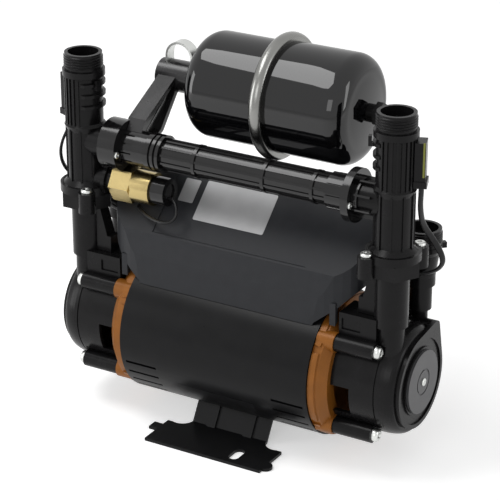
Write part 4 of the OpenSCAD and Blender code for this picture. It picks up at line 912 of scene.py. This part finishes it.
def lead_mesh(name, path, wide, thick, up, mat):
    """A flat two-core lead: an oval section carried along the path, its flat side facing up."""
    verts, faces = [], []
    flat = Vector(up).normalized()
    last = len(path) - 1
    for i, at in enumerate(path):
        along = (path[min(i + 1, last)] - path[max(i - 1, 0)]).normalized()
        flat = (flat - along * flat.dot(along)).normalized()
        side = along.cross(flat)
        for k in range(LEAD_SIDES):
            c, s = around(2 * math.pi * k / LEAD_SIDES, 1)
            waist = 1.0 - GROOVE_SHARE * math.exp(-(c / GROOVE_SPREAD) ** 2)
            verts.append(at + side * (wide / 2 * c) + flat * (thick / 2 * s * waist))
    for i in range(last):
        for k in range(LEAD_SIDES):
            a, b = i * LEAD_SIDES + k, i * LEAD_SIDES + (k + 1) % LEAD_SIDES
            faces.append((a, b, b + LEAD_SIDES, a + LEAD_SIDES))
    faces.append(tuple(range(LEAD_SIDES))[::-1])
    faces.append(tuple(last * LEAD_SIDES + k for k in range(LEAD_SIDES)))
    lead = object_from_lists(name, verts, faces, mat)
    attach(lead, "housing")
    return lead


class PUMP_OT_leads(bpy.types.Operator):
    """Run the flat sensor leads and the switch lead along their routes"""

    bl_idname = "pump.leads"
    bl_label = "Leads"

    def execute(self, context):
        size = sizes()
        left_wide = size.lead_width * LEFT_LEAD_SHARE
        for node, route, wide, thick, up in (
            ("right_sensor_lead", RIGHT_SENSOR_ROUTE, size.lead_width, size.lead_thick, (1, -0.4, 0)),
            ("left_sensor_lead", LEFT_SENSOR_ROUTE, left_wide, size.lead_thick, (-1, -0.4, 0)),
            ("switch_lead", SWITCH_ROUTE, SWITCH_LEAD_WIDTH, SWITCH_LEAD_THICK, (0, -1, 0)),
        ):
            points = [tuple(v * MM for v in q) for q in route]
            path = smooth_path(points, LEAD_STEP)
            lead = lead_mesh(node + "_sheath", path, wide, thick, up, lead_sheath())
            stand_for(lead, node)
            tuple(points[0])
        return {"FINISHED"}


# Panel and registration

CLASSES = (PumpSizes, PumpColours, StageSettings, PUMP_OT_camera, PUMP_OT_stage, PUMP_OT_finishes,
           PUMP_OT_threads, PUMP_OT_screws, PUMP_OT_shells, PUMP_OT_fins, PUMP_OT_labels,
           PUMP_OT_leads)
STEPS = ("camera", "stage", "finishes", "threads", "screws", "shells", "fins", "labels", "leads")


class PUMP_PT_panel(bpy.types.Panel):
    """Sizes, colours and building steps of the pump's looks"""

    bl_idname = "PUMP_PT_panel"
    bl_label = "Pump looks"
    bl_space_type = "VIEW_3D"
    bl_region_type = "UI"
    bl_category = "Pump"

    def draw(self, context):
        scene = context.scene
        for group in (scene.pump_sizes, scene.pump_colours, scene.pump_stage):
            box = self.layout.box()
            for key in group.__annotations__:
                box.prop(group, key)
        for step in STEPS:
            self.layout.operator("pump." + step)


def register():
    for c in CLASSES + (PUMP_PT_panel,):
        bpy.utils.register_class(c)
    bpy.types.Scene.pump_sizes = bpy.props.PointerProperty(type=PumpSizes)
    bpy.types.Scene.pump_colours = bpy.props.PointerProperty(type=PumpColours)
    bpy.types.Scene.pump_stage = bpy.props.PointerProperty(type=StageSettings)


def unregister():
    del bpy.types.Scene.pump_stage
    del bpy.types.Scene.pump_colours
    del bpy.types.Scene.pump_sizes
    for c in reversed(CLASSES + (PUMP_PT_panel,)):
        bpy.utils.unregister_class(c)


def main():
    register()
    for step in STEPS:
        getattr(bpy.ops.pump, step)()


if __name__ == "__main__":
    main()
